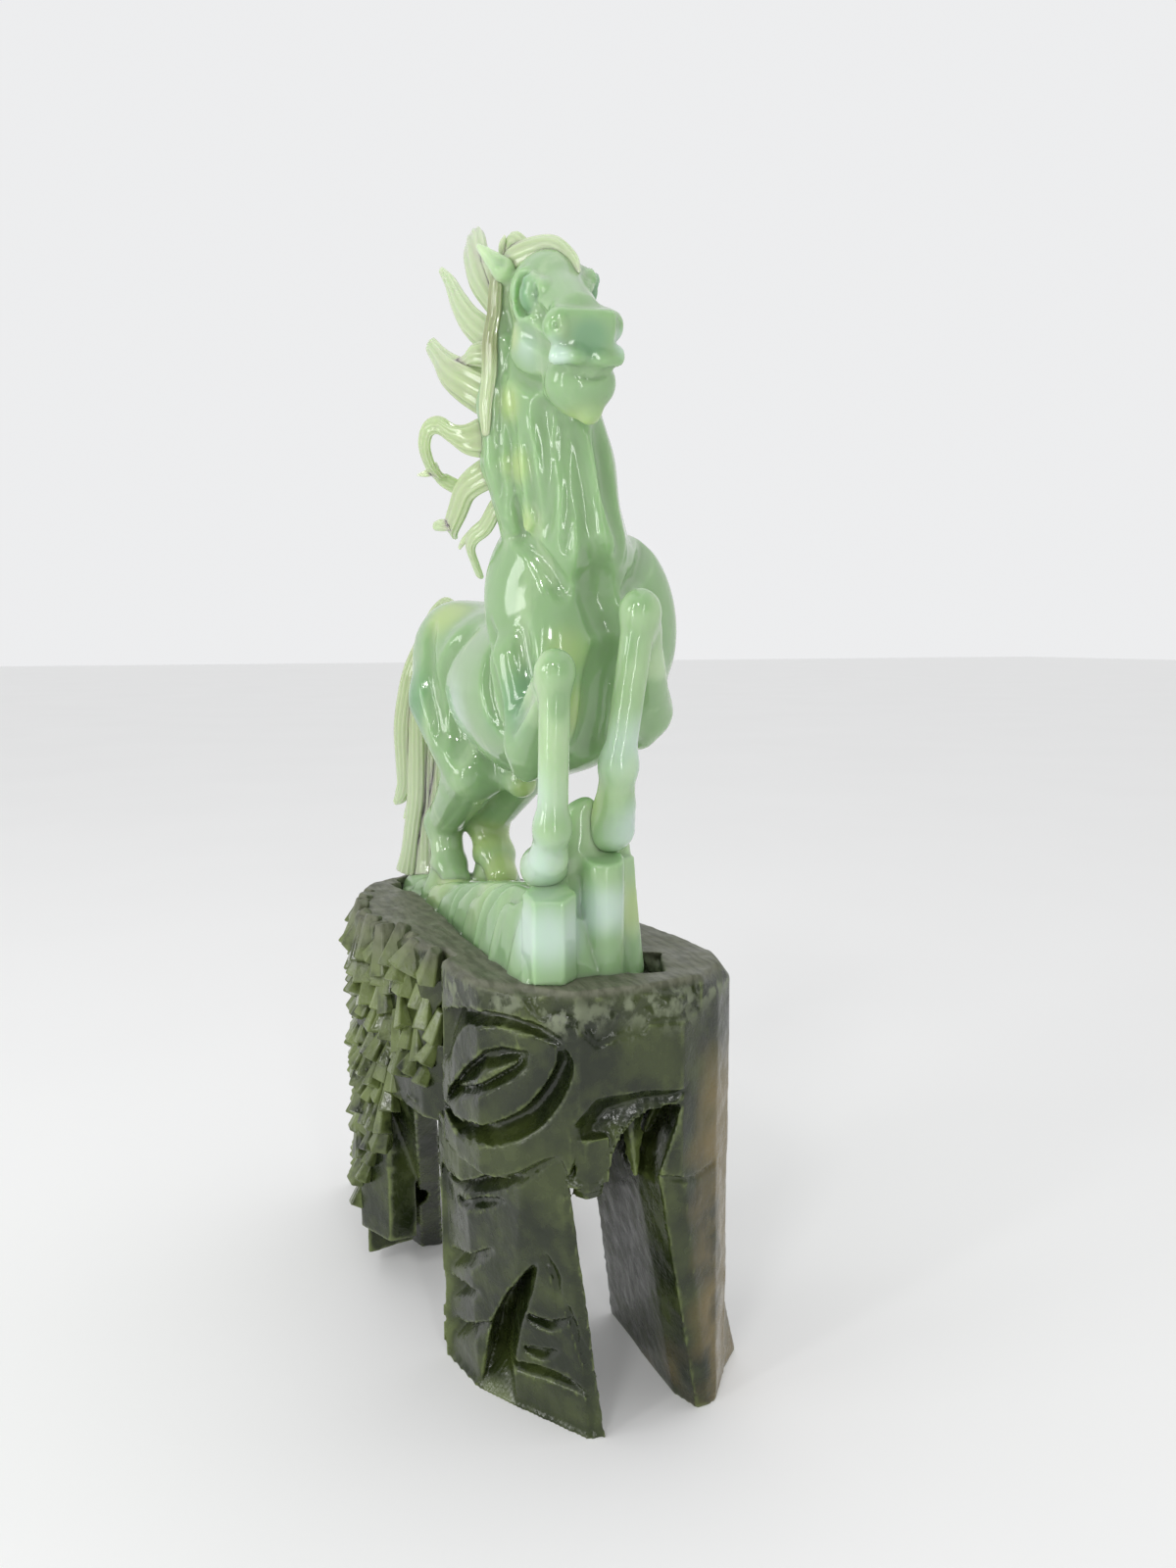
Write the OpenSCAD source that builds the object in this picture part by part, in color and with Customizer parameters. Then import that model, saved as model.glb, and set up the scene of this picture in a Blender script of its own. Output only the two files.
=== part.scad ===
// Carved jade horse on its rock, standing in the pocket of a dark jade stand.
// Millimetres, +Z up. The horse faces +X, its left is +Y, and the origin is at
// the centre of the stand's footprint, on the surface that the stand rests on.

/* [Rock] */
// Length of the rock, from its front prisms to the root of the tail
rock_l = 139; // [112:1:170]
// Width of the rock
rock_w = 39; // [32:1:48]
// How far the rock's front stands above the stand's top
rock_rise = 20; // [16:1:24]
// Radius of the round stone column in front
column_r = 4.6; // [3.8:0.2:6]

/* [Stand] */
// Length that the stand adds beyond the rock, both ends together
end_rim = 27; // [21:1:34]
// Width that the stand adds beyond the rock, both sides together
side_rim = 51; // [42:1:62]
// Height of the stand's top face
stand_h = 114; // [94:1:138]
// Depth of the solid block above the arches
block_t = 47; // [38:1:57]
// How far the front arch runs up into the block
arch_rise = 16; // [10:1:20]
// Bevel round the top face
top_bevel = 3; // [2:0.5:4]
// Depth of the pocket that holds the rock
pocket_depth = 12; // [8:1:16]
// Gap between the rock and the pocket's wall
pocket_gap = 1.5; // [0.75:0.25:2.5]
// Width of the bark side's chips
chip_w = 9; // [7:0.5:11]
// How far the knot and the bark chips stand out
relief = 3; // [2:0.5:4]
// Stroke width of the carved knot's ring
knot_ring = 4.5; // [3.5:0.5:5.5]

/* [Horse] */
// Height of the horse over the stand's top, up to its highest lock
horse_h = 185; // [152:1:222]
// Width over the shoulders
body_w = 42; // [34:1:51]
// Radius of the cannon bones
cannon_r = 3.6; // [3:0.1:4.4]
// Thickness of a lock of hair
lock_t = 4; // [3:0.25:5]
// Side shift of the horse from the middle of the stand
horse_shift = 6; // [3:0.5:9]

/* [Hidden] */

ball_fn = 16;                       // facets round a rounded limb
lock_fn = 8;                        // facets round a lock of hair
stand_l = rock_l + end_rim;
stand_w = rock_w + side_rim;
block_z = stand_h - block_t;        // underside of the block
pocket_z = stand_h - pocket_depth;  // floor of the pocket
rest_gap = 0.6;                     // gap between the hair and the stand's top
eps = 0.01;

dark_jade = "#3b4a2c";
pale_jade = "#a9cfa0";

// ---- frames that follow the driving sizes -------------------------------

// A point of the stand's plan, given at the size 166 by 90.
function plan(x, y) = [x * stand_l / 166, y * stand_w / 90];

// A point of the rock's plan, given at the size 139 by 39.
function rock_plan(x, y) = [x * rock_l / 139, y * rock_w / 39];

// A height of the rock above the stand's top, given at a rise of 20.
function rock_z(z) = stand_h + z * rock_rise / 20;

// A point of the horse, from the stand's top up, given at the sizes 139, 42 and 185.
function at(x, y, z) = [x * rock_l / 139,
                        horse_shift + y * body_w / 42,
                        stand_h + z * horse_h / 185];

// ---- shapes -------------------------------------------------------------

module ball(c, r, fn = ball_fn) {
    translate(c) sphere(r, $fn = fn);
}

module bone(a, ra, b, rb, fn = ball_fn) {
    hull() {
        ball(a, ra, fn);
        ball(b, rb, fn);
    }
}

// A run of bones through a list of [point, radius].
module limb(chain, fn = ball_fn) {
    for (i = [0 : len(chain) - 2])
        bone(chain[i][0], chain[i][1], chain[i + 1][0], chain[i + 1][1], fn);
}

// A flat disc of hair, thin across the horse.
module hair_disc(c, r) {
    translate(c) scale([1, lock_t / (2 * r), 1]) sphere(r, $fn = lock_fn);
}

// A lock of hair through a list of [point, half width].
module hair_lock(chain) {
    for (i = [0 : len(chain) - 2])
        hull() {
            hair_disc(chain[i][0], chain[i][1]);
            hair_disc(chain[i + 1][0], chain[i + 1][1]);
        }
}

// A flat outline at height z.
module slice(outline, z) {
    translate([0, 0, z]) linear_extrude(eps) polygon(outline);
}

// A leg of the stand, from its foot's outline to its outline under the block.
module stand_leg(foot, top) {
    hull() {
        slice([for (p = foot) plan(p.x, p.y)], 0);
        slice([for (p = top) plan(p.x, p.y)], block_z - eps);
    }
}

// ---- the stand ----------------------------------------------------------

outline = [plan(80, -10), plan(83, 16), plan(77, 29), plan(70, 36), plan(50, 39),
           plan(12, 34), plan(-28, 29), plan(-53, 23), plan(-70, 8), plan(-77, -6),
           plan(-69, -18), plan(-54, -30), plan(-17, -41.5), plan(38, -30),
           plan(58, -29), plan(78, -13)];

tenon = [rock_plan(73, 2), rock_plan(73, -7), rock_plan(66, -20), rock_plan(20, -17),
         rock_plan(-2, -15), rock_plan(-44, -13), rock_plan(-60, -14), rock_plan(-66, -8),
         rock_plan(-62, 5), rock_plan(-44, 14), rock_plan(-10, 18), rock_plan(40, 19),
         rock_plan(56, 17), rock_plan(68, 12)];

module block_raw() {
    translate([0, 0, block_z])
        linear_extrude(block_t - top_bevel) polygon(outline);
    translate([0, 0, stand_h - top_bevel])
        linear_extrude(top_bevel,
                       scale = [1 - 2 * top_bevel / stand_l,
                                1 - 2 * top_bevel / stand_w])
            polygon(outline);
}

module stand_block() {
    color(dark_jade) difference() {
        block_raw();
        translate([0, 0, pocket_z]) linear_extrude(pocket_depth + 1)
            offset(delta = pocket_gap) polygon(tenon);
        // the front arch runs up into the block between the two front legs
        translate([plan(28, 0).x, 0, block_z]) rotate([90, 0, 90])
            linear_extrude(stand_l) polygon([[plan(0, -2).y, -1], [plan(0, 11).y, -1],
                                             [plan(0, 11).y, arch_rise],
                                             [plan(0, 5).y, arch_rise * 0.85],
                                             [plan(0, -2).y, arch_rise * 0.5]]);
    }
}

fr_foot = [[30, -27], [47, -24], [78, -6], [79, -2], [50, -1], [30, -10]];
fr_top = [[28, -32], [38, -29.5], [58, -28.5], [77, -13], [77, -11], [50, -5], [28, -12]];
fl_foot = [[78, 24], [77, 30], [62, 45], [38, 43], [30, 22], [70, 21]];
fl_top = [[82, 11], [82.5, 16], [76.5, 29], [69, 35.5], [50, 38.5], [36, 36], [34, 16], [70, 11]];
rr_foot = [[-28, -17], [-27, -11], [-50, -8], [-83, -20], [-83, -28], [-70, -27], [-47, -24]];
rr_top = [[14, -26], [14, -34.5], [-20, -39], [-54, -29], [-69, -17], [-60, -9], [-20, -12]];
rl_foot = [[-34, 34], [-60, 32], [-79, 17], [-74, 6], [-64, 5], [-36, 15]];
rl_top = [[-30, 28], [-53, 22], [-69, 8], [-64, 1], [-30, 12]];

module leg_front_right() {
    color(dark_jade) difference() {
        stand_leg(fr_foot, fr_top);
        // the notch between the two toes, and two saw cuts across them
        translate([plan(52, 0).x, plan(0, -23).y, -1])
            cylinder(h = block_z * 0.55, r1 = 7, r2 = 0.5, $fn = 4);
        for (z = [0.24, 0.4])
            translate([plan(78, 0).x, plan(0, -18).y, z * block_z]) rotate([0, 0, 32])
                cube([30, 5, 2.4], center = true);
    }
}

module leg_front_left() {
    color(dark_jade) stand_leg(fl_foot, fl_top);
}

module leg_rear_right() {
    color(dark_jade) difference() {
        stand_leg(rr_foot, rr_top);
        // the knot hole
        translate([plan(-34, 0).x, plan(0, -36).y, block_z * 0.36]) rotate([-90, 0, 0])
            cylinder(h = 20, r = 4.5, $fn = 24);
    }
}

module leg_rear_left() {
    color(dark_jade) stand_leg(rl_foot, rl_top);
}

// One chip of bark: a leaning block, half sunk in the wall.
module chip(size, lean) {
    rotate([lean, -32, 0])
        cube([size * 0.8, relief * 2, size * 0.75], center = true);
}

bark_from = plan(36, -30.5);   // where the bark starts on the long side
bark_to = plan(-13, -40.7);      // where it ends

module bark_chips() {
    run = bark_to - bark_from;
    cols = floor(norm(run) / chip_w);
    rows = floor((block_t - top_bevel - 4) / (chip_w * 0.85));
    color(dark_jade) difference() {
        for (i = [0 : cols - 1], j = [0 : rows - 1]) {
            s = (i + (j % 2) * 0.4 + 0.3) / cols;
            p = bark_from + run * s;
            translate([p.x, p.y, stand_h - top_bevel - chip_w * (0.65 + 0.85 * j)])
                rotate([0, 0, atan2(run.y, run.x) + 180])
                    chip(chip_w, 14 + 8 * ((i + j) % 3));
        }
        block_raw();
    }
}

// The two corners of the bevelled face that the knot is carved on.
knot_a = plan(58, -29);
knot_b = plan(78, -13);
knot_turn = atan2(knot_b.y - knot_a.y, knot_b.x - knot_a.x);
knot_w = norm(knot_b - knot_a);

module almond(w, h, t) {
    rise = (w * w / 4 - h * h / 4) / h;
    r = rise + h / 2;
    rotate([90, 0, 0]) intersection() {
        translate([0, -rise, 0]) cylinder(h = t, r = r, $fn = 96);
        translate([0, rise, 0]) cylinder(h = t, r = r, $fn = 96);
    }
}

module knot_boss() {
    mid = (knot_a + knot_b) / 2;
    color(dark_jade)
        translate([mid.x, mid.y, block_z + block_t * 0.52]) rotate([0, -12, knot_turn]) {
            difference() {
                almond(knot_w, knot_w * 0.72, relief);
                translate([0, 1, 0])
                    almond(knot_w - 2.6 * knot_ring, knot_w * 0.72 - 2 * knot_ring, relief + 2);
            }
            almond(knot_w - 3.6 * knot_ring, knot_w * 0.72 - 3 * knot_ring, relief * 0.7);
        }
}

// Stone drips left hanging in the front arch: x, y, half width and drop.
drips = [[77, -6, 4.0, 4], [77, 6, 3.0, 2.5], [62, 1, 3.6, 5]];

module arch_drips() {
    color(dark_jade) difference() {
        for (d = drips)
            translate([plan(d[0], 0).x, plan(0, d[1]).y, block_z - d[3]])
                cylinder(h = d[3] + arch_rise + 2, r1 = d[2] * 0.6, r2 = d[2], $fn = 5);
        stand_block();
        stand_leg(fr_foot, fr_top);
    }
}

// ---- the rock -----------------------------------------------------------

// The rock's back rises in steps from the tail to the front prisms.
module rock_raw() {
    translate([0, 0, pocket_z]) linear_extrude(pocket_depth + 3) polygon(tenon);
    hull() {
        slice([rock_plan(70, 6), rock_plan(71, -8), rock_plan(64, -18), rock_plan(16, -16),
               rock_plan(-40, -12), rock_plan(-40, 12), rock_plan(40, 17), rock_plan(60, 14)],
              rock_z(2));
        slice([rock_plan(66, 2), rock_plan(66, -9), rock_plan(60, -15), rock_plan(30, -13),
               rock_plan(30, 2), rock_plan(50, 10)], rock_z(16));
        slice([rock_plan(58, 0), rock_plan(58, -9), rock_plan(38, -9), rock_plan(38, 0)],
              rock_z(20));
    }
}

module rock() {
    color(pale_jade) rock_raw();
}

module columns_raw() {
    c = rock_plan(64, 4);
    translate([c.x, c.y, stand_h + 4])
        cylinder(h = rock_z(28) - stand_h - 4, r = column_r, $fn = 48);
    q = rock_plan(66, -10);
    translate([q.x, q.y, stand_h + 4]) rotate([0, 0, 20])
        cylinder(h = rock_z(21) - stand_h - 4, r = column_r * 1.25, $fn = 6);
}

module rock_columns() {
    color(pale_jade) difference() {
        columns_raw();
        rock_raw();
    }
}

// The web of stone that carries the raised hooves.
module bridge_raw() {
    bone(at(60, -14, 25), 3.2, at(58, 6, 34), 3);
    bone(at(58, 6, 34), 3, at(54, 7, 8), 4);
    bone(at(60, -14, 25), 3.2, at(56, -12, 10), 4);
}

module hoof_bridge() {
    color(pale_jade) difference() {
        bridge_raw();
        rock_raw();
        columns_raw();
        foreleg_right_raw();
        foreleg_left_raw();
    }
}

// ---- the horse ----------------------------------------------------------

module torso_raw() {
    limb([[at(40, 0, 72), 0.46 * body_w], [at(10, 0.5, 64), 0.52 * body_w],
          [at(-20, 0, 73), 0.43 * body_w], [at(-41, -1, 74), 0.45 * body_w]]);
    bone(at(50, 0, 66), 0.35 * body_w, at(36, 0, 96), 0.34 * body_w);
    bone(at(32, -11, 91), 0.26 * body_w, at(46, -12, 60), 0.2 * body_w);
    bone(at(34, 19, 93), 0.26 * body_w, at(46, 16, 62), 0.2 * body_w);
}

module torso() {
    color(pale_jade) torso_raw();
}

module neck_raw() {
    limb([[at(38, -1.5, 103), 0.4 * body_w], [at(46, -7, 124), 0.3 * body_w],
          [at(48, -9.5, 143), 0.26 * body_w]]);
}

module neck() {
    color(pale_jade) difference() {
        neck_raw();
        torso_raw();
    }
}

module head_raw() {
    limb([[at(50, -10, 162), 0.25 * body_w], [at(60, -11, 158), 0.22 * body_w],
          [at(75, -13, 147), 0.175 * body_w]]);
    bone(at(54, -11, 150), 0.19 * body_w, at(62, -12, 147), 0.16 * body_w);
    for (side = [-1, 1])
        bone(at(44, -10 + 7 * side, 168), 0.07 * body_w,
             at(38, -10 + 9 * side, 178), 0.025 * body_w, lock_fn);
}

module head() {
    color(pale_jade) difference() {
        head_raw();
        neck_raw();
    }
}

module jaw_raw() {
    bone(at(58, -11, 144), 0.14 * body_w, at(72, -10, 134), 0.12 * body_w);
}

module lower_jaw() {
    color(pale_jade) difference() {
        jaw_raw();
        head_raw();
        neck_raw();
    }
}

module foreleg_right_raw() {
    limb([[at(46, -13, 54), 0.19 * body_w], [at(74, -18.4, 74), cannon_r * 1.1],
          [at(72, -18.3, 56), cannon_r], [at(70, -18, 36), cannon_r * 1.2],
          [at(62, -15, 27), cannon_r * 1.5]]);
}

module foreleg_right() {
    color(pale_jade) difference() {
        foreleg_right_raw();
        torso_raw();
        rock_raw();
    }
}

module foreleg_left_raw() {
    limb([[at(46, 16, 60), 0.19 * body_w], [at(74, 3, 87.5), cannon_r * 1.25],
          [at(72, 1, 70), cannon_r], [at(70, -2, 49), cannon_r * 1.2],
          [at(62, 1, 36), cannon_r * 1.5]]);
}

module foreleg_left() {
    color(pale_jade) difference() {
        foreleg_left_raw();
        torso_raw();
        rock_raw();
        columns_raw();
    }
}

module hind_leg_right_raw() {
    limb([[at(-40, -9, 70), 0.34 * body_w], [at(-16, -7, 38), 0.26 * body_w],
          [at(-48, -10, 21), 0.14 * body_w], [at(-42, -8, 8), 0.12 * body_w],
          [at(-34, -8, 2), 0.13 * body_w]]);
}

module hind_leg_right() {
    color(pale_jade) difference() {
        hind_leg_right_raw();
        torso_raw();
        rock_raw();
    }
}

module hind_leg_left_raw() {
    limb([[at(-40, 10, 70), 0.34 * body_w], [at(-16, 11, 42), 0.26 * body_w],
          [at(-42, 6, 22), 0.14 * body_w], [at(-34, 5, 12), 0.13 * body_w],
          [at(-26, 5, 5), 0.13 * body_w]]);
}

module hind_leg_left() {
    color(pale_jade) difference() {
        hind_leg_left_raw();
        torso_raw();
        hind_leg_right_raw();
        rock_raw();
    }
}

// Each lock: its root on the crest, how far it flies back, how far it lifts,
// and its half width at the root.
mane_locks = [[44, 172, 12, 13, 6], [41, 166, 18, 10, 6], [38, 156, 24, 4, 7],
              [36, 142, 24, -4, 7], [34, 130, 25, -14, 6], [32, 116, 20, -18, 5],
              [30, 107, 14, -20, 4]];

module mane_raw() {
    // the hair lying on the neck's right side, from the poll to the withers
    hair_lock([[at(44, -19, 169), 6], [at(42, -20, 140), 8], [at(33, -17, 104), 6],
               [at(32, -13, 96), 4]]);
    for (m = mane_locks)
        hair_lock([[at(m[0], -19, m[1] - 4), m[4]],
                   [at(m[0] - m[2] * 0.55, -22, m[1] + m[3] * 0.3 - 3), m[4] * 0.7],
                   [at(m[0] - m[2], -25, m[1] + m[3]), 1.2]]);
}

module mane() {
    color(pale_jade) difference() {
        mane_raw();
        neck_raw();
        torso_raw();
        head_raw();
    }
}

module forelock_raw() {
    hair_lock([[at(44, -13, 175), 6], [at(55, -12, 172), 5], [at(66, -8, 166), 2]]);
}

module forelock() {
    color(pale_jade) difference() {
        forelock_raw();
        mane_raw();
        head_raw();
        neck_raw();
    }
}

module tail_raw() {
    hair_lock([[at(-48, -4, 84), 5], [at(-57, -6, 90), 6], [at(-68, -11, 78), 7], [at(-72, -14, 50), 7],
               [at(-71, -14, 24), 6], [at(-62, -10, 4), 8]]);
    hair_lock([[at(-68, -11, 60), 5], [at(-64, -16, 30), 6], [at(-58, -14, 5), 5]]);
}

// Everything below the rest clearance over the stand's top, where the rock stands.
module below_top() {
    translate([-stand_l, -stand_w, 0]) cube([2 * stand_l, 2 * stand_w, stand_h + rest_gap]);
}

module tail() {
    color(pale_jade) difference() {
        tail_raw();
        below_top();
        torso_raw();
        hind_leg_right_raw();
        hind_leg_left_raw();
        rock_raw();
    }
}

stand_block();
leg_front_right();
leg_front_left();
leg_rear_right();
leg_rear_left();
bark_chips();
knot_boss();
arch_drips();
rock();
rock_columns();
hoof_bridge();
torso();
neck();
head();
lower_jaw();
foreleg_right();
foreleg_left();
hind_leg_right();
hind_leg_left();
mane();
forelock();
tail();
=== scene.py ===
# %% [markdown]
# # A jade horse on its dark jade stand
# The real object is two carved stones. A pale green horse, cut in one piece with the
# rock under it, stands loose in a pocket of a darker stand with four splayed legs.
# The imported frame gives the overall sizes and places. It is loaded first, and its box is
# kept, because the finished carving must match it to within about two millimetres.

# %% Load the frame
import bpy
import math
import numpy as np
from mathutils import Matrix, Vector


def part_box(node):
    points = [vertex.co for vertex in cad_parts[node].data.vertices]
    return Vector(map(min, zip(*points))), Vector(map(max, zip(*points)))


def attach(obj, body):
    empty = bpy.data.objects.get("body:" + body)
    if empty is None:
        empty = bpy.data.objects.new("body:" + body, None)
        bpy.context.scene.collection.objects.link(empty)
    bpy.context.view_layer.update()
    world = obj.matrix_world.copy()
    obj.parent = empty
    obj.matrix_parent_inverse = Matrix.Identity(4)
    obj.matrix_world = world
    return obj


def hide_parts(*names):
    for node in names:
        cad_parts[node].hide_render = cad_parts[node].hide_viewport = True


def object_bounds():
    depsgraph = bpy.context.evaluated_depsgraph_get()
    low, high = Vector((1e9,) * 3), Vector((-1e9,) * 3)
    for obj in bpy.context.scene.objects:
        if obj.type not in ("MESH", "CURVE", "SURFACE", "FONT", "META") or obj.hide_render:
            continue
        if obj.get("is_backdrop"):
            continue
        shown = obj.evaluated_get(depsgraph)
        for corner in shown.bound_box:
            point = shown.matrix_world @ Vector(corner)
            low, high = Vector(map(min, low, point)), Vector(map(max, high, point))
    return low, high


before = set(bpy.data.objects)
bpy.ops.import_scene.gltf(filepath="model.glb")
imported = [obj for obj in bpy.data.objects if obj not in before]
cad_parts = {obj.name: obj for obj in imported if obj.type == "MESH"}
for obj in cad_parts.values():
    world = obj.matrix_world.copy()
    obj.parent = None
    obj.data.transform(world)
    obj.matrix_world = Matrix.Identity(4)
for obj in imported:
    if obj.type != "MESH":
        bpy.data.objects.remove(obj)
cad_low, cad_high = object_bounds()
print("frame size in mm:", [round((b - a) * 1000, 1) for a, b in zip(cad_low, cad_high)])

# %% [markdown]
# ## Two rulers
# The stand and the horse are measured from the frame's own boxes. `stand_at` takes a
# point of the stand, and `horse_at` a point of the horse counted from the stand's top.
# Both work in millimetres. The carving below is drawn for the sizes named here, and both
# rulers stretch it if the frame's sizes differ. Their short names are `S` and `H`.

# %% Rulers for the stand and the horse
MM = 0.001
DRAWN_STAND = (166.0, 90.0, 114.0)
DRAWN_ROCK = (139.0, 39.0)
DRAWN_TORSO_WIDTH = 51.4
DRAWN_HORSE_HEIGHT = 186.1
HORSE_ASIDE = 6.0
block_low, block_high = [v * 1000 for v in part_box("stand_block")]
rock_low, rock_high = [v * 1000 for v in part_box("rock")]
torso_low, torso_high = [v * 1000 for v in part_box("torso")]
whole_low, whole_high = Vector(cad_low) * 1000, Vector(cad_high) * 1000
stand_top = block_high.z
stand_x = (whole_high.x - whole_low.x) / DRAWN_STAND[0]
stand_y = (whole_high.y - whole_low.y) / DRAWN_STAND[1]
horse_x = (rock_high.x - rock_low.x) / DRAWN_ROCK[0]
horse_y = (torso_high.y - torso_low.y) / DRAWN_TORSO_WIDTH
horse_z = (whole_high.z - stand_top) / DRAWN_HORSE_HEIGHT


def stand_at(x, y, z):
    return np.array([x * stand_x, y * stand_y, z * stand_top / DRAWN_STAND[2]])


def horse_at(x, y, z):
    return np.array([x * horse_x, HORSE_ASIDE + y * horse_y, stand_top + z * horse_z])


S = stand_at
H = horse_at
print("the stand's top is at", round(stand_top, 1), "mm")

# %% [markdown]
# ## A block of stone to carve
# A carver starts from a block and takes stone away. Here the block is a grid that
# holds, at each point, the distance to the surface: negative inside, positive outside.
# A shape is joined by keeping the lower distance, and cut by keeping the higher one.
# Blending the two gives the soft valleys that polishing leaves. Mesh booleans could do
# the joining, but they leave hard seams between muscles, which polished jade never has.

# %% The block of distances
def soft_low(a, b, soft):
    """The lower of two distances, blended where they are closer than soft."""
    if soft <= 0:
        return np.minimum(a, b)
    h = np.clip(0.5 + 0.5 * (b - a) / soft, 0.0, 1.0)
    return b + (a - b) * h - soft * h * (1.0 - h)


def grid_line(low, high, steps):
    """Grid positions from low to high. steps lists (up to here, step)."""
    out = [low]
    for end, step in steps:
        while out[-1] < min(end, high):
            out.append(out[-1] + step)
    return np.array(out, dtype=np.float32)


class Stone:
    """A block on a grid, which shapes are added to and cut from."""
    def __init__(self, low, high, steps):
        self.lines = [grid_line(low[i], high[i], steps[i]) for i in range(3)]
        self.gap = np.full([len(line) for line in self.lines], 30.0, np.float32)

    def window(self, low, high, reach):
        """The part of the grid that a box touches."""
        cut = []
        for line, a, b in zip(self.lines, low, high):
            first = int(np.searchsorted(line, a - reach))
            last = int(np.searchsorted(line, b + reach)) + 1
            cut.append(slice(max(first - 1, 0), last))
        return tuple(cut)

    def work(self, shape, soft, cutting):
        low, high, measure = shape
        cut = self.window(low, high, soft + 2.5)
        old = self.gap[cut]
        if old.size == 0:
            return
        x = self.lines[0][cut[0], None, None]
        y = self.lines[1][None, cut[1], None]
        z = self.lines[2][None, None, cut[2]]
        here = measure(x, y, z)
        if cutting:
            self.gap[cut] = -soft_low(-old, here, soft)
        else:
            self.gap[cut] = soft_low(old, here, soft)

    def add(self, shape, soft=0.0):
        self.work(shape, soft, False)

    def cut(self, shape, soft=0.0):
        self.work(shape, soft, True)

    def read(self, points):
        """The distance at any points, read between the grid's own."""
        spot, part = [], []
        for i in range(3):
            line = self.lines[i]
            k = np.clip(np.searchsorted(line, points[:, i]) - 1, 0, len(line) - 2)
            spot.append(k)
            part.append(np.clip((points[:, i] - line[k]) / (line[k + 1] - line[k]), 0, 1))
        total = 0.0
        for a in (0, 1):
            for b in (0, 1):
                for c in (0, 1):
                    share = (part[0] if a else 1 - part[0])
                    share = share * (part[1] if b else 1 - part[1])
                    share = share * (part[2] if c else 1 - part[2])
                    total = total + share * self.gap[spot[0] + a, spot[1] + b, spot[2] + c]
        return total

    def slope(self, points, reach=0.8):
        """The direction straight out of the stone at each point."""
        out = np.zeros((len(points), 3))
        for i in range(3):
            step = np.zeros(3)
            step[i] = reach
            out[:, i] = self.read(points + step) - self.read(points - step)
        return out / np.maximum(np.linalg.norm(out, axis=1, keepdims=True), 1e-6)

    def onto_skin(self, points, tries=6):
        """Move points along the slope until they lie on the surface."""
        points = np.array(points, dtype=float)
        for _ in range(tries):
            points = points - self.slope(points) * self.read(points)[:, None]
        return points


print("stone block helper ready")

# %% [markdown]
# ## The carver's shapes
# Muscles and bones are cones with round ends and eggs. The stand is flat faces, so it
# needs solids bounded by planes. Each helper returns its box and its distance rule.

# %% Round and flat shapes
def bone(a, ra, b, rb):
    """A cone with round ends, from radius ra at a to radius rb at b."""
    a, b = np.asarray(a, float), np.asarray(b, float)
    ab = b - a
    long2 = float(ab @ ab) + 1e-9

    def measure(x, y, z):
        t = ((x - a[0]) * ab[0] + (y - a[1]) * ab[1] + (z - a[2]) * ab[2]) / long2
        t = np.clip(t, 0.0, 1.0)
        dx, dy, dz = x - a[0] - t * ab[0], y - a[1] - t * ab[1], z - a[2] - t * ab[2]
        return np.sqrt(dx * dx + dy * dy + dz * dz) - (ra + t * (rb - ra))

    r = max(ra, rb)
    return np.minimum(a, b) - r, np.maximum(a, b) + r, measure


def ball(c, r):
    return bone(c, r, np.asarray(c, float) + 1e-4, r)


def turn_matrix(turn):
    ax, ay, az = [math.radians(v) for v in turn]
    rx = np.array([[1, 0, 0], [0, math.cos(ax), -math.sin(ax)], [0, math.sin(ax), math.cos(ax)]])
    ry = np.array([[math.cos(ay), 0, math.sin(ay)], [0, 1, 0], [-math.sin(ay), 0, math.cos(ay)]])
    rz = np.array([[math.cos(az), -math.sin(az), 0], [math.sin(az), math.cos(az), 0], [0, 0, 1]])
    return rz @ ry @ rx


def egg(c, radii, turn=(0, 0, 0)):
    """A ball stretched by three radii, turned by three angles in degrees."""
    c = np.asarray(c, float)
    m = turn_matrix(turn).T
    r = np.asarray(radii, float)

    def measure(x, y, z):
        dx, dy, dz = x - c[0], y - c[1], z - c[2]
        p = [(m[i, 0] * dx + m[i, 1] * dy + m[i, 2] * dz) / r[i] for i in range(3)]
        k0 = np.sqrt(p[0] ** 2 + p[1] ** 2 + p[2] ** 2)
        k1 = np.sqrt((p[0] / r[0]) ** 2 + (p[1] / r[1]) ** 2 + (p[2] / r[2]) ** 2)
        return k0 * (k0 - 1.0) / np.maximum(k1, 1e-6)

    reach = r.max()
    return c - reach, c + reach, measure


def brick(c, half, turn=(0, 0, 0), round_by=0.0):
    """A box from its half sizes, with rounded edges."""
    c = np.asarray(c, float)
    m = turn_matrix(turn).T
    h = np.asarray(half, float) - round_by

    def measure(x, y, z):
        dx, dy, dz = x - c[0], y - c[1], z - c[2]
        q = [np.abs(m[i, 0] * dx + m[i, 1] * dy + m[i, 2] * dz) - h[i] for i in range(3)]
        out = sum(np.maximum(v, 0.0) ** 2 for v in q)
        return np.sqrt(out) + np.minimum(np.maximum(np.maximum(q[0], q[1]), q[2]), 0) - round_by

    reach = float(np.linalg.norm(half))
    return c - reach, c + reach, measure


def column(c, r, low, high, top_lean=(0.0, 0.0)):
    """A round column with a flat top that may lean."""
    def measure(x, y, z):
        side = np.sqrt((x - c[0]) ** 2 + (y - c[1]) ** 2) - r
        top = z - high - top_lean[0] * (x - c[0]) - top_lean[1] * (y - c[1])
        return np.maximum(np.maximum(side, top), low - z)
    return (np.array([c[0] - r, c[1] - r, low]), np.array([c[0] + r, c[1] + r, high + r]), measure)


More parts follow.
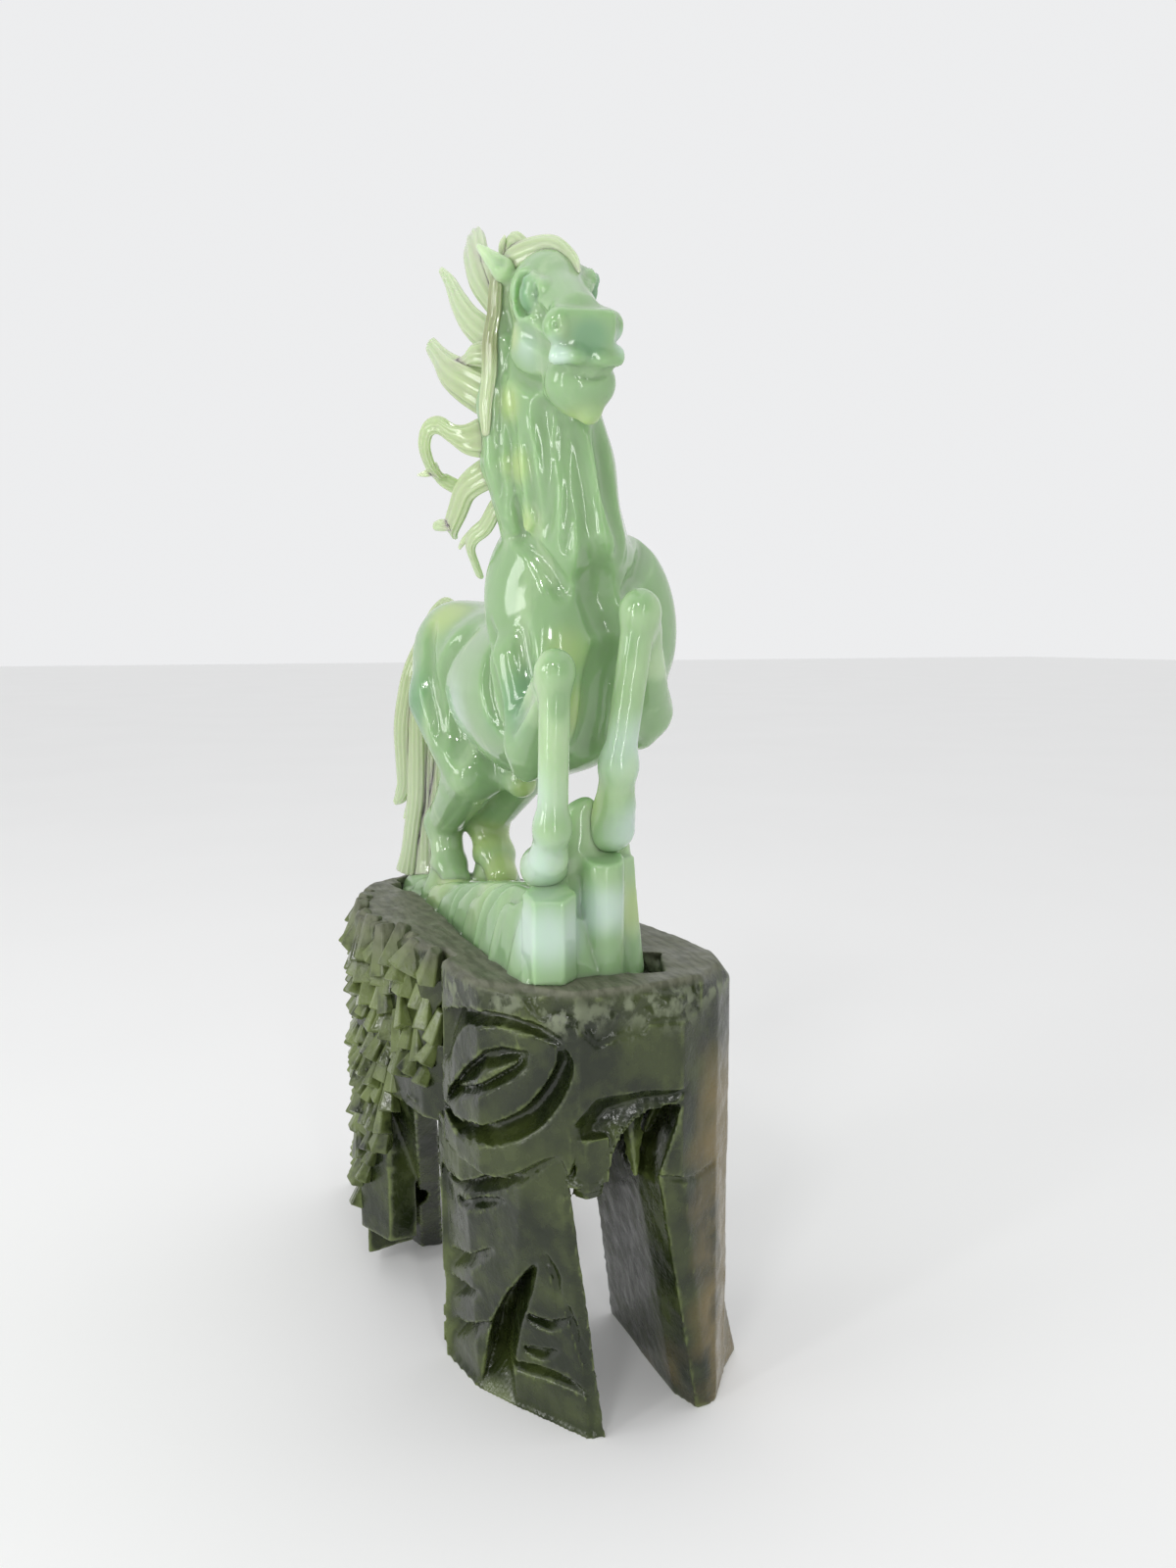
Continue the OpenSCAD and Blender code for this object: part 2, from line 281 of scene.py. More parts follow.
def block_between(foot, top, z0, z1):
    """A convex block from its outline at z0 to its outline at z1, with the same corners."""
    foot, top = np.asarray(foot, float), np.asarray(top, float)
    count = len(foot)
    turn_sign = np.sign(sum(foot[i][0] * foot[(i + 1) % count][1]
                            - foot[(i + 1) % count][0] * foot[i][1] for i in range(count)))

    def measure(x, y, z):
        t = np.clip((z - z0) / (z1 - z0), 0.0, 1.0)
        side = None
        for i in range(count):
            j = (i + 1) % count
            ax = foot[i][0] + t * (top[i][0] - foot[i][0])
            ay = foot[i][1] + t * (top[i][1] - foot[i][1])
            bx = foot[j][0] + t * (top[j][0] - foot[j][0])
            by = foot[j][1] + t * (top[j][1] - foot[j][1])
            ex, ey = bx - ax, by - ay
            size = np.sqrt(ex * ex + ey * ey) + 1e-6
            here = turn_sign * ((x - ax) * ey - (y - ay) * ex) / size
            side = here if side is None else np.maximum(side, here)
        return np.maximum(side, np.maximum(z0 - z, z - z1))

    both = np.concatenate([foot, top])
    low = np.array([both[:, 0].min(), both[:, 1].min(), z0])
    high = np.array([both[:, 0].max(), both[:, 1].max(), z1])
    return low, high, measure


def outline_block(outline, low, high, corner=0.0, grow=0.0, axis=2, bevel=0.0):
    """A straight block over any outline, even a hollow one, standing along one axis."""
    p = np.asarray(outline, float)
    order = {2: (0, 1, 2), 0: (1, 2, 0), 1: (0, 2, 1)}[axis]

    def measure(x, y, z):
        full = np.broadcast_arrays(x, y, z)
        flat_at = [slice(None)] * 3
        flat_at[axis] = slice(0, 1)
        aa = full[order[0]][tuple(flat_at)]
        bb = full[order[1]][tuple(flat_at)]
        along = (x, y, z)[axis]
        flat = np.full(aa.shape, 1e9, np.float32)
        odd = np.zeros(aa.shape, bool)
        for i in range(len(p)):
            a, b = p[i], p[(i + 1) % len(p)]
            e = b - a
            t = np.clip(((aa - a[0]) * e[0] + (bb - a[1]) * e[1]) / (e @ e), 0, 1)
            flat = np.minimum(flat, (aa - a[0] - t * e[0]) ** 2 + (bb - a[1] - t * e[1]) ** 2)
            crosses = ((a[1] > bb) != (b[1] > bb)) & (
                aa < (b[0] - a[0]) * (bb - a[1]) / (b[1] - a[1] + 1e-12) + a[0])
            odd ^= crosses
        flat = np.where(odd, -np.sqrt(flat), np.sqrt(flat)) + corner
        upright = np.maximum(low + corner - along, along - high + corner)
        outer = np.sqrt(np.maximum(flat, 0) ** 2 + np.maximum(upright, 0) ** 2)
        out = outer + np.minimum(np.maximum(flat, upright), 0) - corner - grow
        if bevel > 0:
            out = np.maximum(out, (flat + along - high + bevel) * 0.7071)
        return out

    box_low, box_high = np.zeros(3), np.zeros(3)
    box_low[order[0]], box_low[order[1]], box_low[axis] = p[:, 0].min(), p[:, 1].min(), low
    box_high[order[0]], box_high[order[1]], box_high[axis] = p[:, 0].max(), p[:, 1].max(), high
    return box_low - grow, box_high + grow, measure


def lump_noise(x, y, z, size, seed):
    """Smooth random lumps between -1 and 1, the same on every run."""
    table = np.random.default_rng(seed).uniform(-1, 1, (32, 32, 32)).astype(np.float32)
    spots, parts = [], []
    for v in (x, y, z):
        w = v / size + 512.0
        k = np.floor(w).astype(np.int32)
        f = (w - k).astype(np.float32)
        spots.append(k)
        parts.append(f * f * (3 - 2 * f))
    total = 0.0
    for a in (0, 1):
        for b in (0, 1):
            for c in (0, 1):
                share = (parts[0] if a else 1 - parts[0]) * (parts[1] if b else 1 - parts[1])
                share = share * (parts[2] if c else 1 - parts[2])
                total = total + share * table[(spots[0] + a) % 32, (spots[1] + b) % 32,
                                              (spots[2] + c) % 32]
    return total


def smooth_path(points, per_span=8):
    """A smooth line through all the points (Catmull-Rom)."""
    p = np.asarray(points, float)
    p = np.vstack([2 * p[0] - p[1], p, 2 * p[-1] - p[-2]])
    out = []
    for i in range(1, len(p) - 2):
        for t in np.linspace(0, 1, per_span, endpoint=False):
            out.append(0.5 * (2 * p[i] + (p[i + 1] - p[i - 1]) * t
                              + (2 * p[i - 1] - 5 * p[i] + 4 * p[i + 1] - p[i + 2]) * t * t
                              + (3 * p[i] - 3 * p[i + 1] + p[i + 2] - p[i - 1]) * t ** 3))
    out.append(p[-2])
    return np.array(out)


def crease(stone, points, wide=1.6, deep=1.2, soft=2.0):
    """A groove along a line that is laid onto the surface, fading at both ends."""
    path = stone.onto_skin(smooth_path(points, 6))
    away = stone.slope(path)
    count = len(path)
    for i in range(count - 1):
        fade = [math.sin(math.pi * min(max((k + 0.5) / count, 0.06), 0.94)) ** 0.5
                for k in (i, i + 1)]
        ends = [path[i + k] + away[i + k] * (wide - deep * fade[k]) for k in (0, 1)]
        stone.cut(bone(ends[0], wide, ends[1], wide), soft)


def ridge(stone, points, wide=1.4, proud=0.6, soft=2.0):
    """A raised line along the surface, for veins, tendons and folds."""
    path = stone.onto_skin(smooth_path(points, 6))
    away = stone.slope(path)
    for i in range(len(path) - 1):
        ends = [path[i + k] + away[i + k] * (proud - wide) for k in (0, 1)]
        stone.add(bone(ends[0], wide, ends[1], wide), soft)


print("carver's shapes ready")

# %% [markdown]
# ## From distances to a skin
# Where the distance changes sign between two grid points, the surface crosses. Each
# grid cell with such crossings gets one corner at their average, and each crossing
# joins its four cells in a face. This is called surface nets. It gives even, nearly
# square faces, which shade more smoothly than marching cubes' slivers.

# %% Surface nets and the mesh
def skin_of(stone):
    """The corners and four-sided faces of the surface where the distance is zero."""
    gap = stone.gap
    inside = gap < 0
    shape = np.array(gap.shape)
    cells = shape - 1
    keys, spots, quads = [], [], []
    for axis in range(3):
        first = [slice(None)] * 3
        second = [slice(None)] * 3
        first[axis] = slice(0, -1)
        second[axis] = slice(1, None)
        crossing = inside[tuple(first)] != inside[tuple(second)]
        at = np.argwhere(crossing)
        others = [i for i in range(3) if i != axis]
        keep = np.all([(at[:, i] > 0) & (at[:, i] < cells[i]) for i in others], axis=0)
        at = at[keep]
        far = at.copy()
        far[:, axis] += 1
        g0 = gap[at[:, 0], at[:, 1], at[:, 2]]
        g1 = gap[far[:, 0], far[:, 1], far[:, 2]]
        t = g0 / (g0 - g1)
        spot = np.stack([stone.lines[i][at[:, i]] for i in range(3)], axis=1).astype(float)
        line = stone.lines[axis]
        spot[:, axis] = line[at[:, axis]] + t * (line[far[:, axis]] - line[at[:, axis]])
        b, c = (axis + 1) % 3, (axis + 2) % 3
        ring = []
        for db, dc in ((-1, -1), (0, -1), (0, 0), (-1, 0)):
            cell = at.copy()
            cell[:, b] += db
            cell[:, c] += dc
            key = (cell[:, 0] * cells[1] + cell[:, 1]) * cells[2] + cell[:, 2]
            ring.append(key)
            keys.append(key)
            spots.append(spot)
        ring = np.stack(ring, axis=1)
        flip = g0 > 0
        ring[flip] = ring[flip][:, ::-1]
        quads.append(ring)
    keys = np.concatenate(keys)
    spots = np.concatenate(spots)
    names, back = np.unique(keys, return_inverse=True)
    counts = np.bincount(back)
    corners = np.stack([np.bincount(back, weights=spots[:, i]) / counts for i in range(3)], axis=1)
    faces = np.searchsorted(names, np.concatenate(quads))
    return corners, faces


DEPTH_REACH = 16.0
DEPTH_STEPS = 8


def depth_inside(stone, points, away):
    """How much stone lies behind each point, in millimetres."""
    total = np.zeros(len(points))
    step = DEPTH_REACH / DEPTH_STEPS
    unbroken = np.ones(len(points), bool)
    for k in range(DEPTH_STEPS):
        unbroken &= stone.read(points - away * (step * (k + 0.75))) < 0
        total += unbroken * step
    return total


def into_scene(name, data):
    """A new object in the scene around a mesh, a curve, a lamp or a camera."""
    made = bpy.data.objects.new(name, data)
    bpy.context.scene.collection.objects.link(made)
    return made


def mesh_piece(name, corners, faces):
    """A smooth mesh object from corners in millimetres."""
    mesh = bpy.data.meshes.new(name)
    mesh.vertices.add(len(corners))
    mesh.vertices.foreach_set("co", (corners * MM).astype(np.float32).ravel())
    size = faces.shape[1]
    mesh.loops.add(faces.size)
    mesh.loops.foreach_set("vertex_index", faces.astype(np.int32).ravel())
    mesh.polygons.add(len(faces))
    mesh.polygons.foreach_set("loop_start", np.arange(0, faces.size, size, dtype=np.int32))
    mesh.update(calc_edges=True)
    mesh.validate()
    mesh.shade_smooth()
    return into_scene(name, mesh)


def as_plain_mesh(piece):
    """Replace a piece's live modifiers or curve by the mesh that they make."""
    graph = bpy.context.evaluated_depsgraph_get()
    mesh = bpy.data.meshes.new_from_object(piece.evaluated_get(graph))
    mesh.name = piece.name
    if piece.type == "MESH":
        piece.modifiers.clear()
        piece.data = mesh
        return piece
    name = piece.name
    bpy.data.objects.remove(piece)
    return into_scene(name, mesh)


MOST_TRIANGLES = 190000


def thin_out(piece, most=MOST_TRIANGLES):
    """Merge small faces until the piece has at most this many triangles."""
    count = sum(len(p.vertices) - 2 for p in piece.data.polygons)
    if count <= most:
        return count
    thinner = piece.modifiers.new("thin out", "DECIMATE")
    thinner.ratio = most / count
    as_plain_mesh(piece)
    piece.data.shade_smooth()
    return sum(len(p.vertices) - 2 for p in piece.data.polygons)


def corners_of(piece):
    """A piece's corners in millimetres."""
    co = np.empty(len(piece.data.vertices) * 3, np.float32)
    piece.data.vertices.foreach_get("co", co)
    return co.reshape(-1, 3).astype(float) / MM


def edges_of(piece):
    """The two corners of each of a piece's edges."""
    ends = np.empty(len(piece.data.edges) * 2, np.int32)
    piece.data.edges.foreach_get("vertices", ends)
    return ends.reshape(-1, 2)


DEPTH_SMOOTHING = 6


def note_depth(piece, stone):
    """Store each corner's depth of stone, smoothed over its neighbours."""
    points = corners_of(piece)
    count = len(points)
    deep = depth_inside(stone, points, stone.slope(points))
    ends = edges_of(piece)
    share = np.bincount(ends.ravel(), minlength=count) + 1.0
    for _ in range(DEPTH_SMOOTHING):
        near = np.bincount(ends[:, 0], weights=deep[ends[:, 1]], minlength=count)
        near += np.bincount(ends[:, 1], weights=deep[ends[:, 0]], minlength=count)
        deep = (deep + near) / share
    layer = piece.data.attributes.new("depth", "FLOAT", "POINT")
    layer.data.foreach_set("value", (deep / DEPTH_REACH).astype(np.float32))
    print(piece.name, "depth of stone, mean:", round(float(deep.mean()), 1), "mm")


print("skin helpers ready")

# %% [markdown]
# ## The horse's trunk
# The carver blocks out the barrel, the loin and the croup first, because every other
# muscle grows out of them. Each mass is an egg or a bone, blended by several
# millimetres, so the skin runs over them in one piece.

# %% Barrel, loin, croup and chest
horse = Stone(
    H(-66, -34, -1), H(86, 40, 184),
    [[(-8.0, 0.95), (90.0, 0.72)],
     [(50.0, 0.8)],
     [(stand_top + 122.0 * horse_z, 0.85), (400.0, 0.58)]])
print("horse block:", horse.gap.shape)
horse.add(egg(H(16, 0, 65), (36, 20.5, 23)))
horse.add(egg(H(-8, -0.5, 67), (28, 17.5, 18)), 8)
horse.add(bone(H(-18, 0, 73), 16, H(-40, -1, 76), 16.5), 8)
horse.add(egg(H(-37, -8, 71), (18, 11.5, 20), (0, 12, 0)), 5)
horse.add(egg(H(-37, 8, 71), (18, 11.5, 20), (0, 12, 0)), 5)
horse.add(egg(H(38, 2, 74), (19, 19, 26)), 6)
horse.add(bone(H(32, 1, 88), 16, H(30, 0, 99), 11), 7)

# %% [markdown]
# ## Hind legs
# The hind legs carry the weight, bent like springs under the croup. Thigh, gaskin,
# hock, cannon, fetlock and hoof follow each other with little blending, because jade
# carvers leave the joints crisp.

# %% Hind legs
def hind_leg(stout, hip, stifle, hock, fetlock, hoof):
    """One hind leg from hip to hoof; stout widens it from the hock down."""
    horse.add(bone(hip, 13, stifle, 9), 4.5)
    calf = hock + (stifle - hock) * 0.72
    horse.add(bone(calf, 8.2, hock + (stifle - hock) * 0.12, 4.6 * stout), 4)
    horse.add(ball(hock, 5.0 * stout), 2.0)
    heel = hock + np.array([-5.0, 0.0, 5.0])
    horse.add(bone(hock + np.array([0, 0, 1.5]), 4.0, heel, 2.6), 2.5)
    horse.add(bone(hock, 4.3 * stout, fetlock, 4.0 * stout), 1.8)
    horse.add(egg(fetlock, (5.0 * stout, 4.6 * stout, 5.2)), 1.5)
    horse.add(bone(fetlock, 4.0 * stout, hoof, 5.2), 1.5)


hind_leg(stout=1.3, hip=H(-33, -10, 62), stifle=H(-17, -8, 40), hock=H(-46, -8.8, 21),
         fetlock=H(-41, -8.8, 8), hoof=H(-35, -8.5, 3))
hind_leg(stout=1.5, hip=H(-33, 9, 62), stifle=H(-17, 10, 43), hock=H(-41, 4.2, 22),
         fetlock=H(-35, 4.5, 11.5), hoof=H(-28, 4.5, 5.5))
horse.add(bone(H(-14, 0, 43), 6.0, H(-3, 2, 38.5), 4.6), 5.0)

# %% [markdown]
# ## Shoulders and forelegs
# The two shoulders are big polished domes on either side of a deep breast furrow. Both
# forelegs are lifted, with the knees high in front and the hooves folded under.

# %% Shoulders
horse.add(egg(H(33, -9, 88), (13, 11.5, 21), (0, -16, 0)), 3.5)
horse.add(egg(H(34, 19, 86), (13, 12.5, 23), (0, -16, 0)), 3.5)
horse.add(egg(H(46, -8, 73), (11, 9.5, 20), (0, -6, 0)), 3.5)
horse.add(egg(H(46, 10, 73), (11, 10, 20), (0, -6, 0)), 3.5)

# %% Forelegs
def foreleg(elbow, knee, fetlock, hoof, toe, thick):
    """One lifted foreleg; its joints swell in shares of the cannon's thickness."""
    upper = elbow + np.array([-6.0, 0.0, 20.0])
    horse.add(bone(upper, 8.4, elbow, 6.6), 2.5)
    horse.add(egg(elbow + np.array([-1.0, 0, 1.0]), (7.5, 6.2, 11.5), (0, 12, 0)), 1.6)
    horse.add(bone(elbow + np.array([2.0, 0, 0]), 6.4, knee, thick * 1.18), 3.0)
    horse.add(egg(knee, (thick * 1.25, thick * 1.1, thick * 1.35)), 2.0)
    horse.add(bone(knee, thick, fetlock, thick * 0.96), 1.5)
    horse.add(egg(fetlock, (thick * 1.25, thick * 1.22, thick * 1.4)), 2.2)
    horse.add(bone(fetlock, thick * 1.02, hoof, thick * 1.25), 1.6)
    horse.add(bone(hoof, thick * 1.3, toe, thick * 1.62), 0.6)


foreleg(elbow=H(46, -14, 55), knee=H(73, -18.4, 73.5), fetlock=H(70, -18, 37),
        hoof=H(65, -17, 29), toe=H(60, -16, 26), thick=3.7)
foreleg(elbow=H(46, 17.5, 62), knee=H(73, 3, 87), fetlock=H(70, -1, 51),
        hoof=H(66, 0.0, 41), toe=H(62, 0.5, 35), thick=3.9)

# %% [markdown]
# ## Neck and head
# The neck is a deep wedge, wide where it leaves the shoulders. The head is carved in
# steps: skull, face, jowl, the broad flat nose, then the dropped lower jaw.

# %% Neck
horse.add(bone(H(36, 1, 98), 17, H(45, -5, 122), 12.2), 7)
horse.add(bone(H(45, -5, 122), 12.2, H(50, -10, 146), 10), 5)
horse.add(bone(H(26, -2, 112), 8, H(38, -11, 154), 6.5), 7)
horse.add(bone(H(52, -1, 104), 9, H(52, -7, 128), 7), 6)

# %% Head
head_turn = (0, 21, -13)
horse.add(egg(H(52, -11, 160), (12, 9.6, 11), head_turn), 2.5)
horse.add(egg(H(55, -11.5, 150), (10.5, 9.4, 11.5), (0, 30, -13)), 2.5)
horse.add(bone(H(56, -11.5, 160), 8.2, H(73, -13.2, 151), 5.6), 3)
horse.add(bone(H(60, -12, 150), 7.2, H(73, -13, 144), 5.4), 3)
horse.add(brick(H(75.6, -13.0, 146.4), (4.2, 7.0, 6.0), head_turn, 1.5), 1.6)
horse.add(bone(H(76.5, -19.4, 149.4), 2.0, H(77.5, -13.4, 148.4), 2.2), 0.8)
horse.add(bone(H(77.5, -13.4, 148.4), 2.2, H(76.8, -6.6, 149.8), 2.4), 0.8)
horse.add(egg(H(76.2, -18.6, 141.4), (2.1, 2.3, 1.9), head_turn), 1.4)
horse.add(egg(H(77.4, -6.0, 142.4), (2.4, 2.5, 2.6), head_turn), 1.2)
for side in (-1, 1):
    flare = H(77.0, -13.2 + side * 6.8, 148.0 + side * 0.6)
    horse.add(egg(flare, (3.2, 2.6, 3.2), head_turn), 1.0)
    horse.add(egg(H(77.5, -13.0 + side * 3.2, 141.6), (2.6, 3.6, 1.9), head_turn), 1.2)
    horse.cut(egg(flare + np.array([3.2, side * 0.9, -0.4]), (1.3, 0.7, 1.2), head_turn), 0.9)

# %% Lower jaw and teeth
horse.add(bone(H(57, -11, 143), 6.6, H(70, -11.6, 137), 6.4), 2.5)
horse.add(egg(H(71, -11.2, 137.5), (6.2, 8.0, 6.6), (0, 24, -13)), 1.6)
horse.add(bone(H(70, -10.5, 135), 4.4, H(72, -9.4, 131), 2.6), 2.5)
smile = [H(73, -20.2, 141.4), H(77, -17.5, 138.6), H(79, -13.4, 137.2), H(79, -9.4, 137.4),
         H(77.5, -6.0, 139.2), H(74, -3.4, 142.0)]
crease(horse, smile, 0.8, 1.0, 0.5)
teeth = horse.onto_skin(smooth_path(smile[1:5], 3))
for spot in teeth:
    horse.add(egg(spot + np.array([0.1, 0, 0.5]), (1.1, 0.95, 1.5), head_turn), 0.3)
print("teeth:", len(teeth))

# %% [markdown]
# ## Eyes, ears, creases
# Cuts come last. Each groove is drawn as a few points near the skin, pulled onto it and
# cut with a small round wheel, as the carver does. Narrow wheels make the eyelids and
# wide soft ones part the muscles.

# %% Eyes and ears
for side, spot in ((-1, H(61, -21.6, 158.6)), (1, H(61, -2.2, 161.4))):
    eye = horse.onto_skin([spot])[0]
    out = horse.slope(np.array([eye]))[0]
    horse.cut(egg(eye + out * 0.5, (5.6, 2.6, 5.2), (0, 20, -13)), 1.0)
    horse.add(egg(eye - out * 1.3, (3.8, 2.8, 3.9), (0, 20, -13)), 0.2)
    lid = [eye + np.array(v) for v in ((-5.2, side * 0.6, 0.4), (-2.0, side * 0.9, 5.0),
                                       (3.4, side * 0.3, 4.2), (7.0, 0, 0.4))]
    ridge(horse, lid, 1.4, 1.0, 0.8)
    under = [eye + np.array(v) for v in ((-5.0, side * 0.6, -1.6), (-0.5, side * 0.7, -5.0),
                                         (5.0, 0, -3.6))]
    ridge(horse, under, 1.1, 0.8, 0.8)
    ring_points = [eye + np.array([4.3 * math.cos(a), side * 0.4, 4.4 * math.sin(a)])
                   for a in np.linspace(0.3, 2 * math.pi + 0.1, 13)]
    crease(horse, ring_points, 0.7, 0.9, 0.3)
    ear = H(44, -11.5 + side * 8.0, 168)
    tip = H(38, -12 + side * 11.5, 174.5)
    horse.add(bone(ear, 3.0, tip, 0.9), 1.6)
    inner_ear = ear + np.array([2.4, side * 1.4, 1.2])
    inner_tip = tip + np.array([0.9, side * 0.4, 0.5])
    horse.cut(bone(inner_ear, 1.3, inner_tip, 0.4), 0.8)

# %% Creases between the muscles
lines = [
    # breast furrow, and the edges of the two shoulders
    ([H(58, -1, 101), H(60, 1, 84), H(58, 1, 66), H(54, 0.5, 50)], 3.6, 3.2, 4.0),
    ([H(38, -19, 110), H(50, -17, 101), H(54, -9, 92)], 1.6, 1.2, 2.4),
    ([H(38, 26, 110), H(52, 20, 100), H(56, 11, 92)], 1.6, 1.2, 2.4),
    ([H(22, -18, 106), H(22, -21, 88), H(30, -22, 66), H(38, -20, 50)], 2.4, 2.2, 3.0),
    ([H(24, 28, 104), H(22, 31, 86), H(30, 29, 66), H(38, 25, 52)], 2.4, 2.2, 3.0),
    ([H(34, -22, 84), H(42, -22, 66), H(42, -20, 52)], 1.5, 1.2, 2.4),
    ([H(48, -19, 84), H(54, -19, 68)], 1.6, 1.2, 2.6),
    # neck muscles, from the throat down to the breast
    ([H(56, -14, 134), H(56, -13, 120), H(52, -14, 106)], 2.0, 1.6, 2.6),
    ([H(60, -9, 130), H(61, -6, 116), H(58, -3, 100)], 2.2, 1.8, 2.8),
    ([H(58, -1, 130), H(60, 3, 116), H(58, 7, 100)], 2.0, 1.6, 2.6),
    ([H(46, -18, 132), H(46, -18, 118), H(44, -19, 106)], 1.6, 1.3, 2.2),
    ([H(58, -11, 132), H(59, -9.5, 118), H(56, -8, 102)], 1.3, 1.3, 1.5),
    ([H(52, -17, 128), H(52, -16.5, 116), H(49, -17, 104)], 1.2, 1.1, 1.4),
    ([H(46, 2, 150), H(46, 7, 128), H(42, 11, 112)], 1.6, 1.3, 2.2),
    # jowl against the neck, and the cheek bone
    ([H(46, -20, 158), H(48, -20, 146), H(56, -18.5, 139), H(62, -17, 139)], 1.5, 1.4, 1.6),
    ([H(46, -2, 160), H(50, 0, 146), H(58, -3, 139)], 1.5, 1.4, 1.6),
    ([H(64, -21, 154), H(70, -20, 149)], 1.4, 1.0, 2.0),
    ([H(60, -21, 150), H(68, -20, 145), H(73, -20, 143)], 1.3, 0.9, 2.0),
    ([H(64, -3, 158), H(71, -6, 152)], 1.3, 0.9, 2.0),
    # flank and haunch
    ([H(-6, -16, 84), H(-16, -17, 66), H(-12, -15, 48)], 2.8, 2.4, 4.0),
    ([H(-6, 16, 84), H(-16, 17, 66), H(-12, 16, 50)], 2.8, 2.4, 4.0),
    ([H(-30, -18, 84), H(-24, -19, 66), H(-20, -17, 50)], 1.8, 1.1, 3.0),
    ([H(-46, -17, 78), H(-44, -19, 60), H(-34, -18, 42)], 1.8, 1.2, 3.0),
    ([H(-46, 17, 78), H(-44, 18, 60), H(-34, 17, 44)], 1.8, 1.2, 3.0),
    # tendons of the raised legs
    ([H(50, -20, 58), H(60, -21, 64), H(68, -21, 69)], 1.1, 0.8, 1.6),
    ([H(52, 22, 66), H(60, 16, 74), H(68, 10, 81)], 1.1, 0.8, 1.6),
]
for points, wide, deep, soft in lines:
    crease(horse, points, wide, deep, soft)
print("creases cut:", len(lines))

# %% The mass under the mane, and the strands on the neck
crest = [(H(41, -15.5, 167), 4.0), (H(38, -16.5, 152), 5.0), (H(37, -17.5, 138), 6.0),
         (H(37, -17.0, 124), 5.6), (H(36, -14.0, 109), 4.0)]
for (a, ra), (b, rb) in zip(crest[:-1], crest[1:]):
    horse.add(bone(a, ra, b, rb), 2.0)
strands = (([H(41, -20, 157), H(41, -20.1, 147), H(41, -21, 138), H(41, -22.1, 129),
             H(41, -21.9, 120), H(41, -20.6, 108)], 2.2, 1.5),
           ([H(43, -18.5, 152), H(43, -18.3, 143), H(43, -18.5, 134), H(43, -19.0, 124),
             H(43, -18.7, 107)], 1.6, 1.2),
           ([H(45, -17.5, 143), H(45, -16.6, 133), H(45, -16, 124), H(45, -16.4, 108)], 1.3, 1.0),
           ([H(47, -16.8, 141), H(47, -15.4, 132), H(47, -14.4, 122), H(47, -13.4, 109)], 1.1, 0.8))
for path, wide, high in strands:
    ridge(horse, path, wide, high, 0.6)
print("mane's mass joined, strands on the neck:", len(strands))

# %% The horse's skin
corners, faces = skin_of(horse)
horse_piece = mesh_piece("horse", corners, faces)
print("horse triangles:", len(faces) * 2, "->", thin_out(horse_piece))
note_depth(horse_piece, horse)

# %% [markdown]
# ## The rock under the horse
# The rock is the same stone as the horse. It rises from the tail to the front, where
# the carver left a six-sided crystal and a round column with a sliced top. Its sides
# are combed into slanting folds. It is carved in its own block, so that the flat
# facets can stay crisp while the horse stays soft.

# %% The rock's foot
def rock_line(points):
    return [(x * horse_x, y * (rock_high.y - rock_low.y) / DRAWN_ROCK[1]) for x, y in points]


rock = Stone(
    [rock_low.x - 4, rock_low.y - 4, rock_low.z - 3],
    [rock_high.x + 6, rock_high.y + 4, stand_top + 44],
    [[(200.0, 0.66)], [(200.0, 0.66)], [(400.0, 0.66)]])
foot_line = rock_line([(65.5, 2), (65, -7), (60, -15.5), (20, -16.5), (-2, -14.5), (-44, -12.6),
                       (-60, -13.6), (-65.5, -8), (-62, 5), (-44, 13.6), (-10, 17.6), (40, 18.6),
                       (56, 16.6), (68, 12)])
MOUND_SUNK = 2.5
rock.add(outline_block(foot_line, rock_low.z, stand_top - MOUND_SUNK, 0.8))

# %% The mound, combed into folds like cloth
x = rock.lines[0][:, None]
y = rock.lines[1][None, :]
along = x / horse_x
right = np.interp(along, [-66, -45, 3, 20, 50, 70], [-12.5, -12.0, -15.0, -17.0, -20.2, -19.0])
left = np.interp(along, [-66, -44, -10, 40, 56, 72], [3.0, 12.0, 16.0, 17.0, 14.0, 3.0])
peak = np.interp(along, [-70, -64, -38, -18, 2, 22, 42, 58, 66, 71],
                 [-3, 1.5, 4.5, 6.5, 11, 15, 18.5, 19, 15, -2])
middle = np.interp(along, [-66, -20, 40, 70], [-5.0, -4.0, -7.0, -8.0])
side = np.where(y < middle, (middle - y) / (middle - right), (y - middle) / (left - middle))
drop = np.clip(side, 0, 1.3) ** np.where(y < middle, 3.6, 2.2)
height = stand_top - MOUND_SUNK + (peak + MOUND_SUNK) * (1 - drop)
sweep = along + 15 * np.sin(np.clip(side, 0, 1) * math.pi / 2) + 3.0 * np.sin(y * 0.21)
sweep = sweep + 2.6 * np.sin(along * 0.17 + 1.0) + 1.4 * np.sin(along * 0.41 + y * 0.3)
fold = 1 - np.abs(np.sin(math.pi * sweep / 11.5)) ** 0.6
fold_depth = np.interp(along, [-66, -30, 20, 52, 58], [1.2, 2.0, 3.4, 3.6, 0.6])
fold_depth = fold_depth * np.clip(side * 1.6 + 0.1, 0, 1)
steep = np.gradient(height, rock.lines[0], axis=0) ** 2
steep = steep + np.gradient(height, rock.lines[1], axis=1) ** 2
lean = np.sqrt(1 + steep)
z = rock.lines[2][None, None, :]
mound = (z - height[:, :, None]) / lean[:, :, None] + (fold * fold_depth)[:, :, None] * 0.9
MOUND_END = 69.0
sides = np.maximum(right - y, y - left)
both_ends = np.maximum(along - MOUND_END, -MOUND_END - along)
mound = np.maximum(mound, np.maximum(sides, both_ends)[:, :, None])
mound = np.maximum(mound, rock_low.z - z + 4)
rock.gap = soft_low(rock.gap, mound.astype(np.float32), 1.0)
print("mound height above the stand:", round(float(height.max() - stand_top), 1), "mm")


